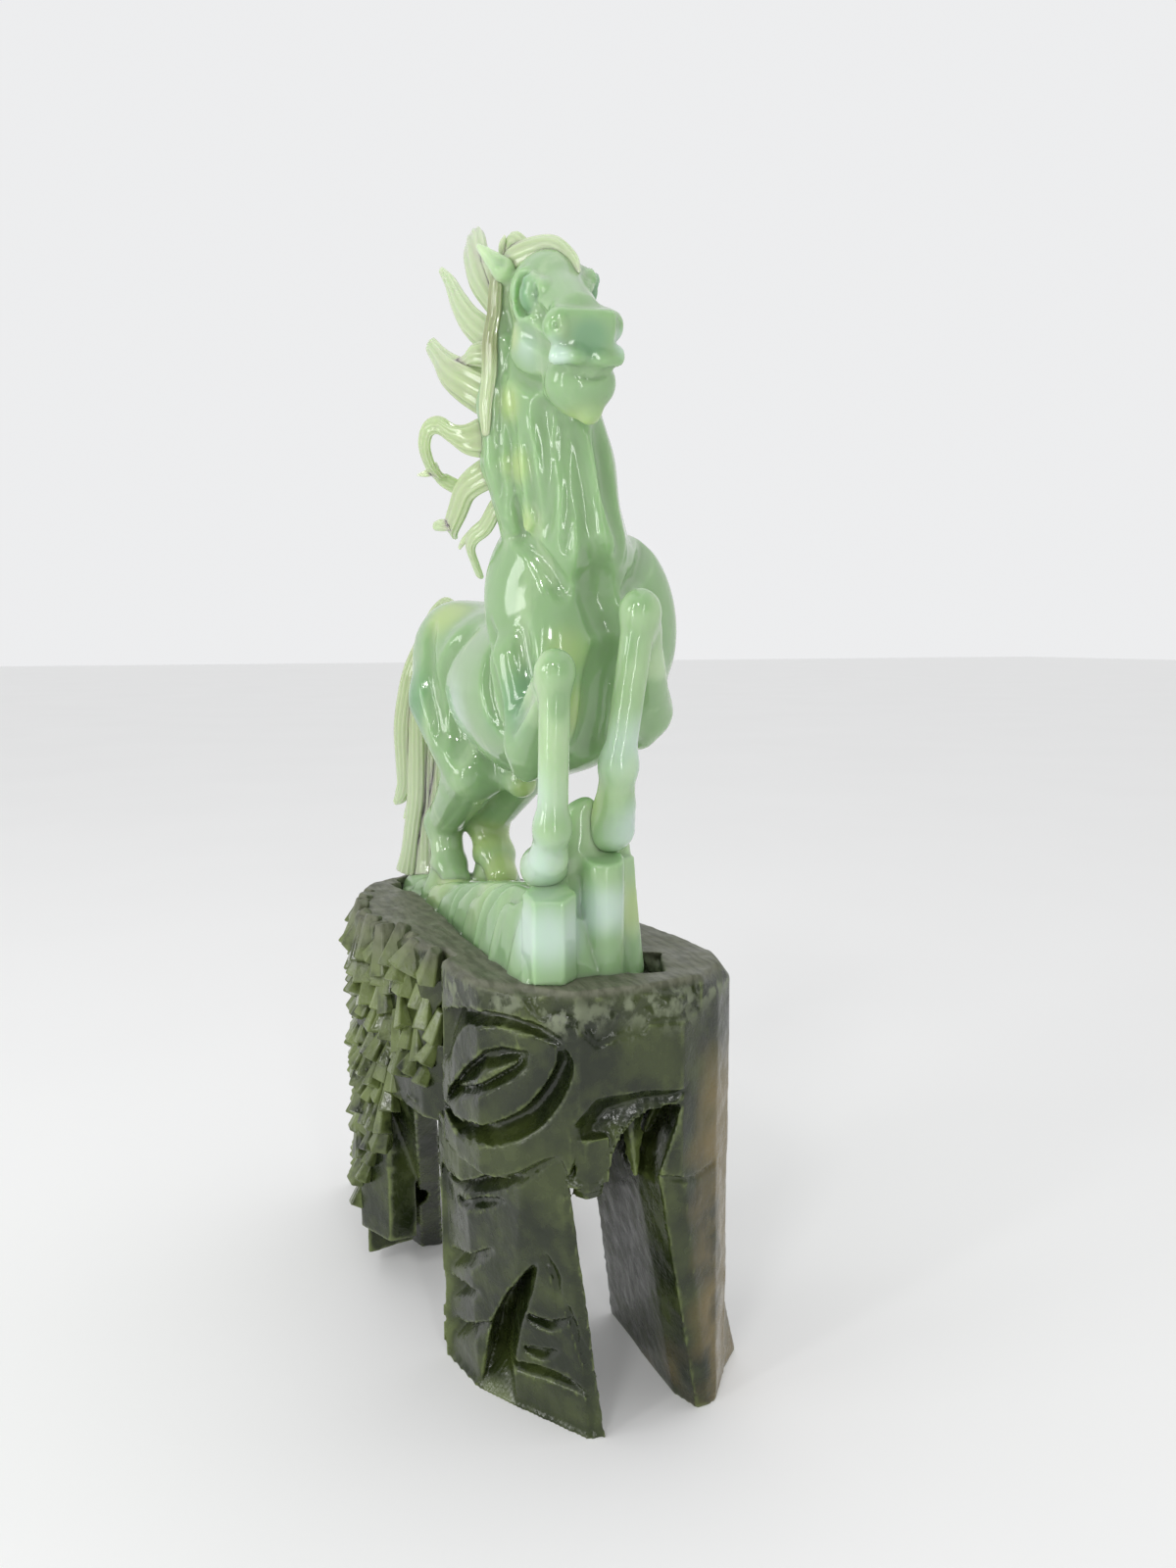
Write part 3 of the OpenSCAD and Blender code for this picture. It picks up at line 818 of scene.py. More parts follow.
# %% Crystal, column and webs
CRYSTAL_RADIUS = 6.7
crystal = [H(67, -17.6, 0)[:2] + CRYSTAL_RADIUS * np.array([math.cos(a), math.sin(a)])
           for a in np.radians([8, 62, 122, 188, 242, 302])]
crystal_top = [c * 0.97 + H(65, -17.6, 0)[:2] * 0.03 for c in crystal]


def slice_block(plan_low, plan_high, top, point, lean_x, lean_y):
    """A prism with a slanted top, cut before it is joined so that nothing else is."""
    low, high, prism = block_between(plan_low, plan_high, stand_top + 0.1, top)
    size = math.sqrt(1 + lean_x ** 2 + lean_y ** 2)

    def measure(x, y, z):
        over = (point[2] + lean_x * (x - point[0]) + lean_y * (y - point[1]) - z) / size
        return np.maximum(prism(x, y, z), -over)
    return low, high, measure


rock.add(slice_block(crystal, crystal_top, stand_top + 26, H(70, -17.2, 20.6), -0.22, 0.12), 0.3)
rock.add(column(H(65, -2.6, 0)[:2], 5.1, stand_top - 3, stand_top + 28.3, (-0.26, 0.05)), 0.4)
rock.add(bone(H(61, -9.5, 0), 4.0, H(59, -9, 18), 3.2), 1.6)
rock.add(bone(H(59, -9, 18), 3.2, H(60.5, -8.6, 39), 2.0), 1.6)
rock.add(bone(H(61, 5.5, -1), 4.6, H(57, 4.5, 30), 3.4), 2.0)
rock.add(block_between([H(66, 3, 0)[:2], H(56, 3, 0)[:2], H(56, 9, 0)[:2], H(63, 9.4, 0)[:2]],
                       [H(64, 3, 0)[:2], H(56, 3, 0)[:2], H(56, 7.5, 0)[:2], H(61, 7.8, 0)[:2]],
                       stand_top - 3, stand_top + 27), 0.6)
rock.add(bone(H(60, -15, 25), 3.6, H(60, -10, 12), 3.4), 2.5)
rock.add(bone(H(59, -14.5, 25), 3.2, H(59, -2, 34), 3.6), 3.0)
rock.add(bone(H(60, -7, 28), 3.6, H(61, -5.5, 40), 2.6), 3.0)
rock.add(bone(H(-41, -9, 0), 7.5, H(-41, -8.8, 8), 5.8), 3.0)
rock.add(bone(H(-33, 4.5, 2), 8.0, H(-35, 4.5, 10), 6.0), 3.0)
corners, faces = skin_of(rock)
rock_piece = mesh_piece("rock_stone", corners, faces)
print("rock triangles:", len(faces) * 2, "->", thin_out(rock_piece, 120000))
note_depth(rock_piece, rock)

# %% [markdown]
# ## The stand's block and legs
# The stand was sawn to a lopsided block first. Its legs were then left standing by
# cutting arches between them. Everything is flat faces here, so the shapes are blocks
# between two outlines with almost no blending.

# %% Block and arches
def P(points):
    return [(x * stand_x, y * stand_y) for x, y in points]


stand = Stone(
    S(-86, -47, -2), S(88, 49, 117),
    [[(26.0, 0.85), (200.0, 0.62)], [(200.0, 0.7)], [(400.0, 0.72)]])
print("stand block:", stand.gap.shape)
leg_top = block_low.z
wall_line = [(80, -10), (83, 16), (77, 29), (70, 36.5), (50, 39), (12, 34), (-28, 29), (-53, 23),
             (-70, 8), (-77, -6), (-69, -18), (-54, -28), (-17, -39.5), (24, -31), (30, -26.5),
             (37, -26.5), (39, -30.2), (50, -30.2), (62, -28), (71, -21.5), (78, -13)]
stand.add(outline_block(P(wall_line), leg_top - 1, stand_top, 0.0, 0.0, 2, 1.0))
feet = [
    # front right: its foot, its outline under the block
    ([(30, -28), (47, -25), (57, -19.5), (78, -6.5), (79, -2), (50, -1), (30, -12)],
     [(30, -29), (50, -30.2), (71, -21.5), (78, -13.2), (77.6, -11.6), (50, -4), (30, -12)]),
    # front left, and the flare at the back of its foot
    ([(70, 21.2), (78, 24), (78, 27), (77, 30), (68, 37.5), (36, 38), (30, 22)],
     [(70, 9), (82, 10), (83, 16), (77, 29), (70, 36.5), (36, 37), (34, 12)]),
    # rear right and rear left
    ([(-28, -17), (-27, -11), (-50, -8), (-83, -20), (-83, -28), (-70, -27), (-47, -24)],
     [(-17, -38), (-16, -20), (-45, -9), (-64, -9), (-70, -17), (-54, -28), (-30, -35)]),
    ([(-34, 34), (-60, 32), (-79, 17), (-74, 6), (-64, 5), (-36, 15)],
     [(-30, 28), (-53, 22.5), (-70, 8), (-70, 4), (-62, 1), (-30, 12)])]
for foot, top in feet:
    stand.add(block_between(P(foot), P(top), 0.0, leg_top + 3), 0.0)
flare = ([(67, 38), (60, 46), (44, 46), (44, 34)], [(68, 36.5), (62, 38), (46, 38), (44, 34)])
stand.add(block_between(P(flare[0]), P(flare[1]), 0.0, 30.0), 1.5)
# the bark wall runs on down to the rear right foot
bark_wall = [(-4, -34), (-17, -39.5), (-50, -29), (-54, -22), (-20, -24), (-4, -26)]
stand.add(outline_block(P(bark_wall), 17.0, leg_top + 3), 0.0)
step_wall = [(-20, -37), (-44, -29), (-46, -22), (-22, -22)]
stand.add(outline_block(P(step_wall), 6.0, 20.0), 0.0)
plate = ([(-28, -17.8), (-27, -11), (-50, -10), (-49, -24)],
         [(21, -32.6), (19, -26), (-14, -20), (-18, -37)])
stand.add(block_between(P(plate[0]), P(plate[1]), 0.0, leg_top + 3), 0.0)

# the front arch, seen from the front as y and z, cut back into the block
arch = [(-11.5, leg_top - 4), (-2, leg_top), (-1.2, 73), (1.5, 79), (6.5, 83), (16, 84.5),
        (13.5, 79), (10.5, 70), (10, leg_top - 4)]
stand.cut(outline_block([(y * stand_y, z) for y, z in arch], S(34, 0, 0)[0], S(95, 0, 0)[0],
                        0.0, 0.0, 0), 0.6)

# %% Chipped corners
SAW_REACH = 46.0


def sliced(point, away):
    """Everything beyond a plane, for sawing a corner off."""
    n = np.asarray(away, float)
    n = n / np.linalg.norm(n)
    c = np.asarray(point, float)

    def measure(x, y, z):
        return -((x - c[0]) * n[0] + (y - c[1]) * n[1] + (z - c[2]) * n[2])
    return c - SAW_REACH, c + SAW_REACH, measure


for point, away in ((S(76, 30, 110), (0.75, 0.62, 0.62)),
                    (S(66, 37, 111), (0.3, 0.9, 0.75)),
                    (S(30, 37, 112), (-0.05, 0.9, 0.9)),
                    (S(82, 10, 112.6), (0.9, 0.1, 1.1)),
                    (S(-66, -19, 111), (-0.85, -0.55, 0.9)),
                    (S(-74, -4, 111.5), (-0.9, 0.1, 0.9)),
                    (S(-61, 16, 111), (-0.6, 0.7, 0.9)),
                    (S(-10, 31, 111.5), (-0.12, 0.9, 0.8)),
                    (S(45, -30, 112.8), (0.05, -0.8, 1.2)),
                    (S(72, -20, 112.4), (0.6, -0.7, 1.3))):
    stand.cut(sliced(point, away), 0.4)

# %% The pocket that the rock stands in
pocket_floor = rock_low.z
stand.cut(outline_block(foot_line, pocket_floor, stand_top + 5, 0.0, 1.5), 0.3)
for spot, half, turn in ((S(63, 16.0, 112), (8.5, 4.2, 8), (0, 0, -24)),
                         (S(-50, -14.5, 112), (5.5, 3.2, 8), (0, 0, 10)),
                         (S(-69, -3, 112), (3.0, 6.0, 8), (0, 0, 20))):
    stand.cut(brick(spot, half, turn, 0.8), 0.6)
print("block, legs and pocket cut")

# %% [markdown]
# ## Drawings sunk into a face
# The knot, the folds and the saw cuts were first drawn on the face and then ground in
# with small wheels. The same is done here. A drawing is a small table of depths over
# the width and height of the stand, seen from one side. It is sunk only into faces that
# look that way, so the far side of a leg stays whole.

# %% Drawing tools
class Drawing:
    """Depths over a face's width u and height z, seen from the direction toward."""
    def __init__(self, low, high, toward, step=0.3):
        angle = math.radians(toward)
        self.toward = np.array([math.cos(angle), math.sin(angle), 0.0])
        self.step = step
        self.low = low
        self.u = np.arange(low[0], high[0], step)[:, None]
        self.z = np.arange(low[1], high[1], step)[None, :]
        self.deep = np.zeros((self.u.shape[0], self.z.shape[1]), np.float32)

    def far_from(self, points):
        """Distance to a line on the drawing, and how far along it."""
        p = np.asarray(points, float)
        best = np.full(self.deep.shape, 1e9)
        along = np.zeros(self.deep.shape)
        for i in range(len(p) - 1):
            a, e = p[i], p[i + 1] - p[i]
            t = ((self.u - a[0]) * e[0] + (self.z - a[1]) * e[1]) / (e @ e + 1e-9)
            t = np.clip(t, 0, 1)
            d = np.hypot(self.u - a[0] - t * e[0], self.z - a[1] - t * e[1])
            closer = d < best
            best = np.where(closer, d, best)
            along = np.where(closer, (i + t) / (len(p) - 1), along)
        return best, along

    def stroke(self, points, wide, deep, round_bottom=True):
        """A groove whose width and depth may change along it."""
        d, along = self.far_from(smooth_path(np.asarray(points, float), 5))
        wide = np.interp(along, np.linspace(0, 1, len(np.atleast_1d(wide))), np.atleast_1d(wide))
        deep = np.interp(along, np.linspace(0, 1, len(np.atleast_1d(deep))), np.atleast_1d(deep))
        side = np.clip(1 - d / wide, 0, 1)
        if round_bottom:
            side = np.sqrt(np.clip(1 - (d / wide) ** 2, 0, 1))
        self.deep = self.deep + side * deep

    def inside(self, points):
        """Distance from the border of a closed figure, positive inside it."""
        p = np.asarray(points, float)
        d, _ = self.far_from(np.vstack([p, p[:1]]))
        odd = np.zeros(self.deep.shape, bool)
        for i in range(len(p)):
            a, b = p[i], p[(i + 1) % len(p)]
            crosses = ((a[1] > self.z) != (b[1] > self.z)) & (
                self.u < (b[0] - a[0]) * (self.z - a[1]) / (b[1] - a[1] + 1e-12) + a[0])
            odd ^= crosses
        return np.where(odd, d, -d)

    def hollow(self, points, slope, most):
        """A figure whose floor falls away from its border down to a depth."""
        self.deep = np.maximum(self.deep, np.clip(self.inside(points) * slope, 0, most))

    def rise(self, points, slope, most):
        """Stone left standing inside a hollow, with its crest along the middle."""
        within = self.inside(points)
        self.deep = self.deep - np.clip(within * slope, 0, most) * (within > 0)

    def look(self, u, z):
        """The depth drawn at any place, read between the drawing's own."""
        a = np.clip((u - self.low[0]) / self.step, 0, self.deep.shape[0] - 1.001)
        b = np.clip((z - self.low[1]) / self.step, 0, self.deep.shape[1] - 1.001)
        i, j = a.astype(int), b.astype(int)
        f, g = a - i, b - j
        return ((self.deep[i, j] * (1 - g) + self.deep[i, j + 1] * g) * (1 - f)
                + (self.deep[i + 1, j] * (1 - g) + self.deep[i + 1, j + 1] * g) * f)


def sink(stone, drawing, low, high, limit=0.25):
    """Push a drawing into the faces that look its way, inside a window."""
    cut = stone.window(low, high, 1.0)
    gap = stone.gap[cut]
    lines = [line[c] for line, c in zip(stone.lines, cut)]
    slopes = np.gradient(gap, *lines)
    facing = sum(s * t for s, t in zip(slopes, drawing.toward))
    size = np.sqrt(sum(s * s for s in slopes)) + 1e-6
    share = np.clip((facing / size - limit + 0.15) / 0.3, 0, 1)
    x = lines[0][:, None, None] / stand_x
    y = lines[1][None, :, None] / stand_y
    z = lines[2][None, None, :] * DRAWN_STAND[2] / stand_top
    across = -drawing.toward[1] * x + drawing.toward[0] * y
    across, z = np.broadcast_arrays(across, z)
    stone.gap[cut] = gap + share * drawing.look(across, z)


# %% The front drawing: knot, folds, toes
def spread(points):
    """The feet lean out, so marks on them sit lower than on an upright face."""
    return [(u, z - 0.11 * (50 - z)) for u, z in points]


front = Drawing((-20, -1), (60, 118), -24)
front.stroke([(-12.5, 91.5), (-10.5, 96.5), (-5.4, 102.6), (2.2, 105.3), (8.2, 105.5), (14.0, 104.4),
              (19.4, 102.2)], [3.8, 3.2, 2.0, 1.6, 1.5, 1.4, 1.0], [6.0, 5.4, 4.2, 3.8, 3.4, 3.0, 0.8])
pit = [(-10.1, 77.4), (-9.4, 81.7), (-4.7, 90.2), (0.9, 97.4), (5.4, 99.2), (12.5, 99.3), (11.6, 95.1),
       (8.1, 91.4), (2.0, 87.1), (-3.8, 82.8)]
front.hollow(pit, 2.2, 3.4)
leaf = [(-8.8, 81.0), (-4.9, 87.0), (1.0, 93.6), (6.1, 96.0), (11.6, 97.9), (9.6, 94.6), (4.0, 90.2),
        (-2.0, 85.6)]
front.rise(leaf, 2.4, 5.0)
front.stroke([(-9.9, 75.6), (-5.9, 74.0), (-0.2, 75.8), (3.9, 77.0), (12.0, 82.3), (17.5, 89.3),
              (20.3, 96.0), (19.7, 100.6)], [1.2, 2.0, 2.3, 2.5, 2.7, 2.5, 2.0, 1.0],
             [2.5, 4.8, 5.6, 5.8, 5.8, 5.2, 3.6, 0.6])
front.stroke([(-9.5, 54.6), (-1.5, 58.6), (4.0, 62.8), (9.6, 66.4), (15.7, 71.4), (19.8, 74.4)],
             [2.4, 3.0, 3.4, 2.8, 1.8, 0.7], [5.6, 6.0, 5.6, 4.2, 2.4, 0.4], False)
below = [(-13, 57), (-8.8, 56.4), (1.7, 61.5), (10.3, 66.4), (19.7, 74.0), (22.2, 68), (27.3, 29.8),
         (30.5, 10), (30, -1), (-14, -1)]
front.hollow(below, 2.0, 1.6)
under_beam = [(27.7, 88.3), (39, 88.9), (50.4, 87.9), (46, 84), (42, 64), (24, 61), (22.4, 68.2),
              (21.3, 81.7)]
front.hollow(under_beam, 0.95, 8.0)
front.stroke([(25.3, 76.5), (24.0, 72.0), (22.3, 67.0)], [0.8, 1.5, 1.6], [2.0, 5.0, 7.0])
front.stroke([(47.4, 83.6), (45.0, 78.9), (42.0, 70.3), (41.3, 65.0)], [0.6, 2.2, 2.2, 1.0],
             [1, 5, 5, 2], False)
front.stroke([(-6.8, 50.4), (-0.5, 54.4), (4.6, 57.6)], [1.0, 1.5, 0.8], [1.6, 2.6, 1.0])
front.stroke(spread([(-11.5, 31.0), (-4.7, 36.6), (1.6, 42.8)]), [1.8, 1.6, 0.8], [4.0, 3.2, 0.8])
front.stroke(spread([(-12.0, 23.5), (-7.0, 26.5), (-2.6, 29.8)]), [2.6, 2.0, 0.8], [5.0, 3.6, 0.8])
front.stroke(spread([(-13.0, 11.5), (-6.0, 16.5), (-1.5, 21.0), (3.2, 24.6)]), [2.4, 1.9, 1.5, 0.7],
             [4.6, 3.8, 2.6, 0.6], False)
notch = spread([(14.6, 47.0), (10.0, 41.5), (5.0, 34.0), (0.6, 24.0), (-1.5, 12.0), (-3.5, -6.0),
                (8.6, -6.0), (7.3, 14.0), (9.4, 25.0), (12.6, 36.0)])
front.hollow(notch, 3.4, 14.0)
front.stroke(spread([(11.6, 29.6), (16.4, 29.4), (21.4, 32.6)]), [1.2, 1.7, 0.7], [2.6, 3.6, 0.8],
             False)
front.stroke(spread([(10.8, 20.9), (14.5, 21.2), (18.3, 23.2)]), [1.0, 1.5, 0.7], [2.0, 3.0, 0.6])
front.stroke(spread([(7.0, 15.2), (15.0, 16.4), (21.0, 16.4), (26.4, 15.0)]), [1.4, 1.9, 1.6, 0.6],
             [4.0, 4.2, 3.2, 0.6], False)
front.stroke([(15.5, 46.4), (17.9, 41.8), (18.7, 36.0)], [0.8, 1.1, 0.7], [0.8, 1.4, 0.6])
front.stroke(spread([(21.1, 35.3), (24.9, 25.2), (28.6, 17.4)]), [0.8, 1.1, 0.7], [0.8, 1.4, 0.6])
front.stroke([(42.6, 66.8), (51.5, 64.0), (57.0, 64.6)], [0.7, 0.8, 0.7], [0.7, 0.9, 0.7], False)
rough = [(5, 115), (9.1, 112.5), (14.0, 106.6), (22.8, 105.9), (27.7, 100.2), (31.5, 101.5),
         (38.5, 102.3), (40.4, 104.6), (49, 104.4), (53, 106), (53, 116)]
uu, zz = np.broadcast_arrays(front.u, front.z)
pecks = lump_noise(uu, zz, 0 * uu, 2.6, 3) + 0.6 * lump_noise(uu, zz, 0 * uu, 1.2, 4)
in_rough = np.clip(front.inside(rough) / 1.2, 0, 1)
front.deep = front.deep + (in_rough * (1.15 + 0.5 * pecks)).astype(np.float32)
sink(stand, front, S(26, -36, -2), S(88, 40, 116))
print("front drawing sunk, deepest:", round(float(front.deep.max()), 1), "mm")

# %% Drips in the arch
for foot, top, z0, z1 in (
        ([(77.5, -9.5), (79.5, -7.0), (79.0, -3.4), (75, -4)],
         [(77.5, -10.5), (80.0, -8.0), (80.5, -1.6), (72, -2), (72, -8)], 64.6, 78.0),
        ([(75.4, -9.0), (78.4, -7.0), (78.0, -3.0), (74, -4)],
         [(76.4, -10.0), (79.2, -8.0), (79.2, -2.8), (73, -3)], 62.6, 66.0),
        ([(74.5, 6.4), (76.5, 7.2), (75.5, 8.0)],
         [(76.0, 1.6), (79.0, 3.6), (77.0, 9.4), (72, 8)], 64.5, 82.5),
        ([(60, 0), (62, 4), (58, 5), (56, 1)], [(64, -4), (67, 6), (56, 8), (52, -3)], 58.0, 80.0)):
    stand.add(block_between(P(foot), P(top), z0, z1), 0.5)

# %% The knot hole and the plate of the rear right leg
pit_spot = stand.onto_skin([S(-14, -26.5, 29)])[0]
pit_out = stand.slope(np.array([pit_spot]))[0]
stand.cut(egg(pit_spot + pit_out * 0.6, (5.4, 4.4, 5.2)), 0.8)
print("pit at", [round(float(v), 1) for v in pit_spot])

# %% Tool marks
near = np.abs(stand.gap) < 3.0
cells = np.argwhere(near)
px, py, pz = [stand.lines[i][cells[:, i]] for i in range(3)]
bumps = 0.16 * lump_noise(px, py, pz, 7.0, 11) + 0.10 * lump_noise(px, py, pz, 2.2, 12)
stand.gap[near] += (bumps * np.clip((pz - 1.0) / 4.0, 0, 1)).astype(np.float32)

corners, faces = skin_of(stand)
stand_piece = mesh_piece("stand_stone", corners, faces)
print("stand triangles:", len(faces) * 2, "->", thin_out(stand_piece))
note_depth(stand_piece, stand)

# %% [markdown]
# ## Bark on the long side
# The long side is carved like bark: rows of small faceted fingers, wider at their lower
# end, with dark cuts between them. They all have the same build, so Geometry Nodes sets
# a five-sided cone on each point of a ragged grid that follows the wall. Seeds are fixed.
# Carving each one by hand would give the same look but could not be spaced again.

# %% The bark's points
BARK_ROWS = 12
BARK_ROW_HEIGHT = 7.2
BARK_TOP = 108.6
bark_run = [(31, -30.5), (-17, -40.2), (-52, -29.8)]
ends = [np.array(S(a, b, 0)) for a, b in bark_run]
chance = np.random.default_rng(7)
spots, outs, sizes = [], [], []
for a, b, bottom, cols in ((ends[0], ends[1], 36.0, 9), (ends[1], ends[2], 22.0, 7)):
    way = (b - a) / np.linalg.norm(b - a)
    out = np.array([-way[1], way[0], 0.0])
    for row in range(BARK_ROWS):
        for col in range(cols):
            t = (col + 0.3 + 0.45 * (row % 2) + chance.uniform(-0.12, 0.12)) / cols
            height = BARK_TOP - row * BARK_ROW_HEIGHT + chance.uniform(-1.5, 1.5)
            floor = bottom if cols == 7 else 80.0 - 46.0 * min(max((t - 0.35) / 0.5, 0), 1)
            if height < floor or t > 1.02 or chance.uniform() < 0.05:
                continue
            sunk = 1.8 + chance.uniform(-0.8, 0.8)
            p = a + (b - a) * t
            rise = height * stand_top / DRAWN_STAND[2]
            spots.append([p[0] - out[0] * sunk, p[1] - out[1] * sunk, rise])
            outs.append(math.atan2(out[1], out[0]))
            sizes.append(1.25 if row == 0 else chance.uniform(0.8, 1.15))
bark_mesh = bpy.data.meshes.new("bark_points")
bark_mesh.from_pydata([tuple(v * MM for v in p) for p in spots], [], [])
layer = bark_mesh.attributes.new("facing", "FLOAT", "POINT")
layer.data.foreach_set("value", outs)
layer = bark_mesh.attributes.new("size", "FLOAT", "POINT")
layer.data.foreach_set("value", sizes)
bark_piece = into_scene("bark", bark_mesh)
print("bark fingers:", len(spots))

# %% The bark's node group
bark_stone = bpy.data.materials.new("dark jade bark")


def group_input(group, name, kind, value):
    socket = group.interface.new_socket(name, in_out="INPUT", socket_type=kind)
    socket.default_value = value
    return socket.identifier


def node(group, kind, **settings):
    made = group.nodes.new(kind)
    for key, value in settings.items():
        setattr(made, key, value)
    return made


bark = bpy.data.node_groups.new("bark fingers", "GeometryNodeTree")
bark.interface.new_socket("Geometry", in_out="INPUT", socket_type="NodeSocketGeometry")
finger_width = group_input(bark, "Finger Width", "NodeSocketFloat", 0.0044)
finger_length = group_input(bark, "Finger Length", "NodeSocketFloat", 0.0115)
ragged = group_input(bark, "Raggedness", "NodeSocketFloat", 0.35)
seed = group_input(bark, "Seed", "NodeSocketInt", 5)
bark.interface.new_socket("Geometry", in_out="OUTPUT", socket_type="NodeSocketGeometry")
g_in, g_out = node(bark, "NodeGroupInput"), node(bark, "NodeGroupOutput")
cone = node(bark, "GeometryNodeMeshCone", fill_type="NGON")
cone.inputs["Vertices"].default_value = 5
half_top = node(bark, "ShaderNodeMath", operation="MULTIPLY")
half_top.inputs[1].default_value = 0.52
bark.links.new(g_in.outputs["Finger Width"], half_top.inputs[0])
bark.links.new(half_top.outputs[0], cone.inputs["Radius Top"])
bark.links.new(g_in.outputs["Finger Width"], cone.inputs["Radius Bottom"])
bark.links.new(g_in.outputs["Finger Length"], cone.inputs["Depth"])
centre = node(bark, "GeometryNodeTransform")
middle = node(bark, "ShaderNodeMath", operation="MULTIPLY")
middle.inputs[1].default_value = -0.5
joined = node(bark, "ShaderNodeCombineXYZ")
bark.links.new(g_in.outputs["Finger Length"], middle.inputs[0])
bark.links.new(middle.outputs[0], joined.inputs["Z"])
bark.links.new(cone.outputs["Mesh"], centre.inputs["Geometry"])
bark.links.new(joined.outputs[0], centre.inputs["Translation"])
facing = node(bark, "GeometryNodeInputNamedAttribute", data_type="FLOAT")
facing.inputs["Name"].default_value = "facing"
size = node(bark, "GeometryNodeInputNamedAttribute", data_type="FLOAT")
size.inputs["Name"].default_value = "size"
turn = node(bark, "FunctionNodeRandomValue", data_type="FLOAT_VECTOR")
turn.inputs["Min"].default_value = (-0.28, -0.58, -0.9)
turn.inputs["Max"].default_value = (0.28, -0.20, 0.9)
bark.links.new(g_in.outputs["Seed"], turn.inputs["Seed"])
own = node(bark, "FunctionNodeEulerToRotation")
bark.links.new(turn.outputs[0], own.inputs[0])
wall = node(bark, "ShaderNodeCombineXYZ")
bark.links.new(facing.outputs["Attribute"], wall.inputs["Z"])
wall_turn = node(bark, "FunctionNodeEulerToRotation")
bark.links.new(wall.outputs[0], wall_turn.inputs[0])
both = node(bark, "FunctionNodeRotateRotation", rotation_space="LOCAL")
bark.links.new(wall_turn.outputs[0], both.inputs["Rotation"])
bark.links.new(own.outputs[0], both.inputs["Rotate By"])
stretch = node(bark, "FunctionNodeRandomValue", data_type="FLOAT_VECTOR")
low_size = node(bark, "ShaderNodeMath", operation="SUBTRACT")
low_size.inputs[0].default_value = 1.0
high_size = node(bark, "ShaderNodeMath", operation="ADD")
high_size.inputs[0].default_value = 1.0
for maths in (low_size, high_size):
    bark.links.new(g_in.outputs["Raggedness"], maths.inputs[1])
bark.links.new(low_size.outputs[0], stretch.inputs["Min"])
bark.links.new(high_size.outputs[0], stretch.inputs["Max"])
bark.links.new(g_in.outputs["Seed"], stretch.inputs["Seed"])
scaled = node(bark, "ShaderNodeVectorMath", operation="SCALE")
bark.links.new(stretch.outputs[0], scaled.inputs[0])
bark.links.new(size.outputs["Attribute"], scaled.inputs["Scale"])
set_on = node(bark, "GeometryNodeInstanceOnPoints")
bark.links.new(g_in.outputs["Geometry"], set_on.inputs["Points"])
bark.links.new(centre.outputs["Geometry"], set_on.inputs["Instance"])
bark.links.new(both.outputs[0], set_on.inputs["Rotation"])
bark.links.new(scaled.outputs[0], set_on.inputs["Scale"])
real = node(bark, "GeometryNodeRealizeInstances")
stone_on = node(bark, "GeometryNodeSetMaterial")
stone_on.inputs["Material"].default_value = bark_stone
bark.links.new(set_on.outputs["Instances"], real.inputs["Geometry"])
bark.links.new(real.outputs["Geometry"], stone_on.inputs["Geometry"])
bark.links.new(stone_on.outputs["Geometry"], g_out.inputs[0])
growth = bark_piece.modifiers.new("bark fingers", "NODES")
growth.node_group = bark
growth[finger_width] = 0.0037
growth[finger_length] = 0.0096
growth[ragged] = 0.26
growth[seed] = 5
bark_piece = as_plain_mesh(bark_piece)
soften = bark_piece.modifiers.new("soft edges", "BEVEL")
soften.width = 0.0005
soften.segments = 2
bark_piece = as_plain_mesh(bark_piece)
print("bark corners:", len(bark_piece.data.vertices))

# %% [markdown]
# ## Hair: mane, forelock and tail
# Each lock is a flat, grooved ribbon of stone that narrows to its tip. A lock is one
# path with a width at each point, so Geometry Nodes sweeps one grooved outline along
# all the paths of a tuft. The outline is kept facing the side that the carver worked
# from. Sculpting the ribbons in the stone grid would blur their thin grooves.

# %% The paths of the locks, each point with its half width
def F(front_back, side, up, half):
    """A point of a lock in the horse's millimetres, with its half width."""
    return list(horse_at(front_back, side, up)) + [half]


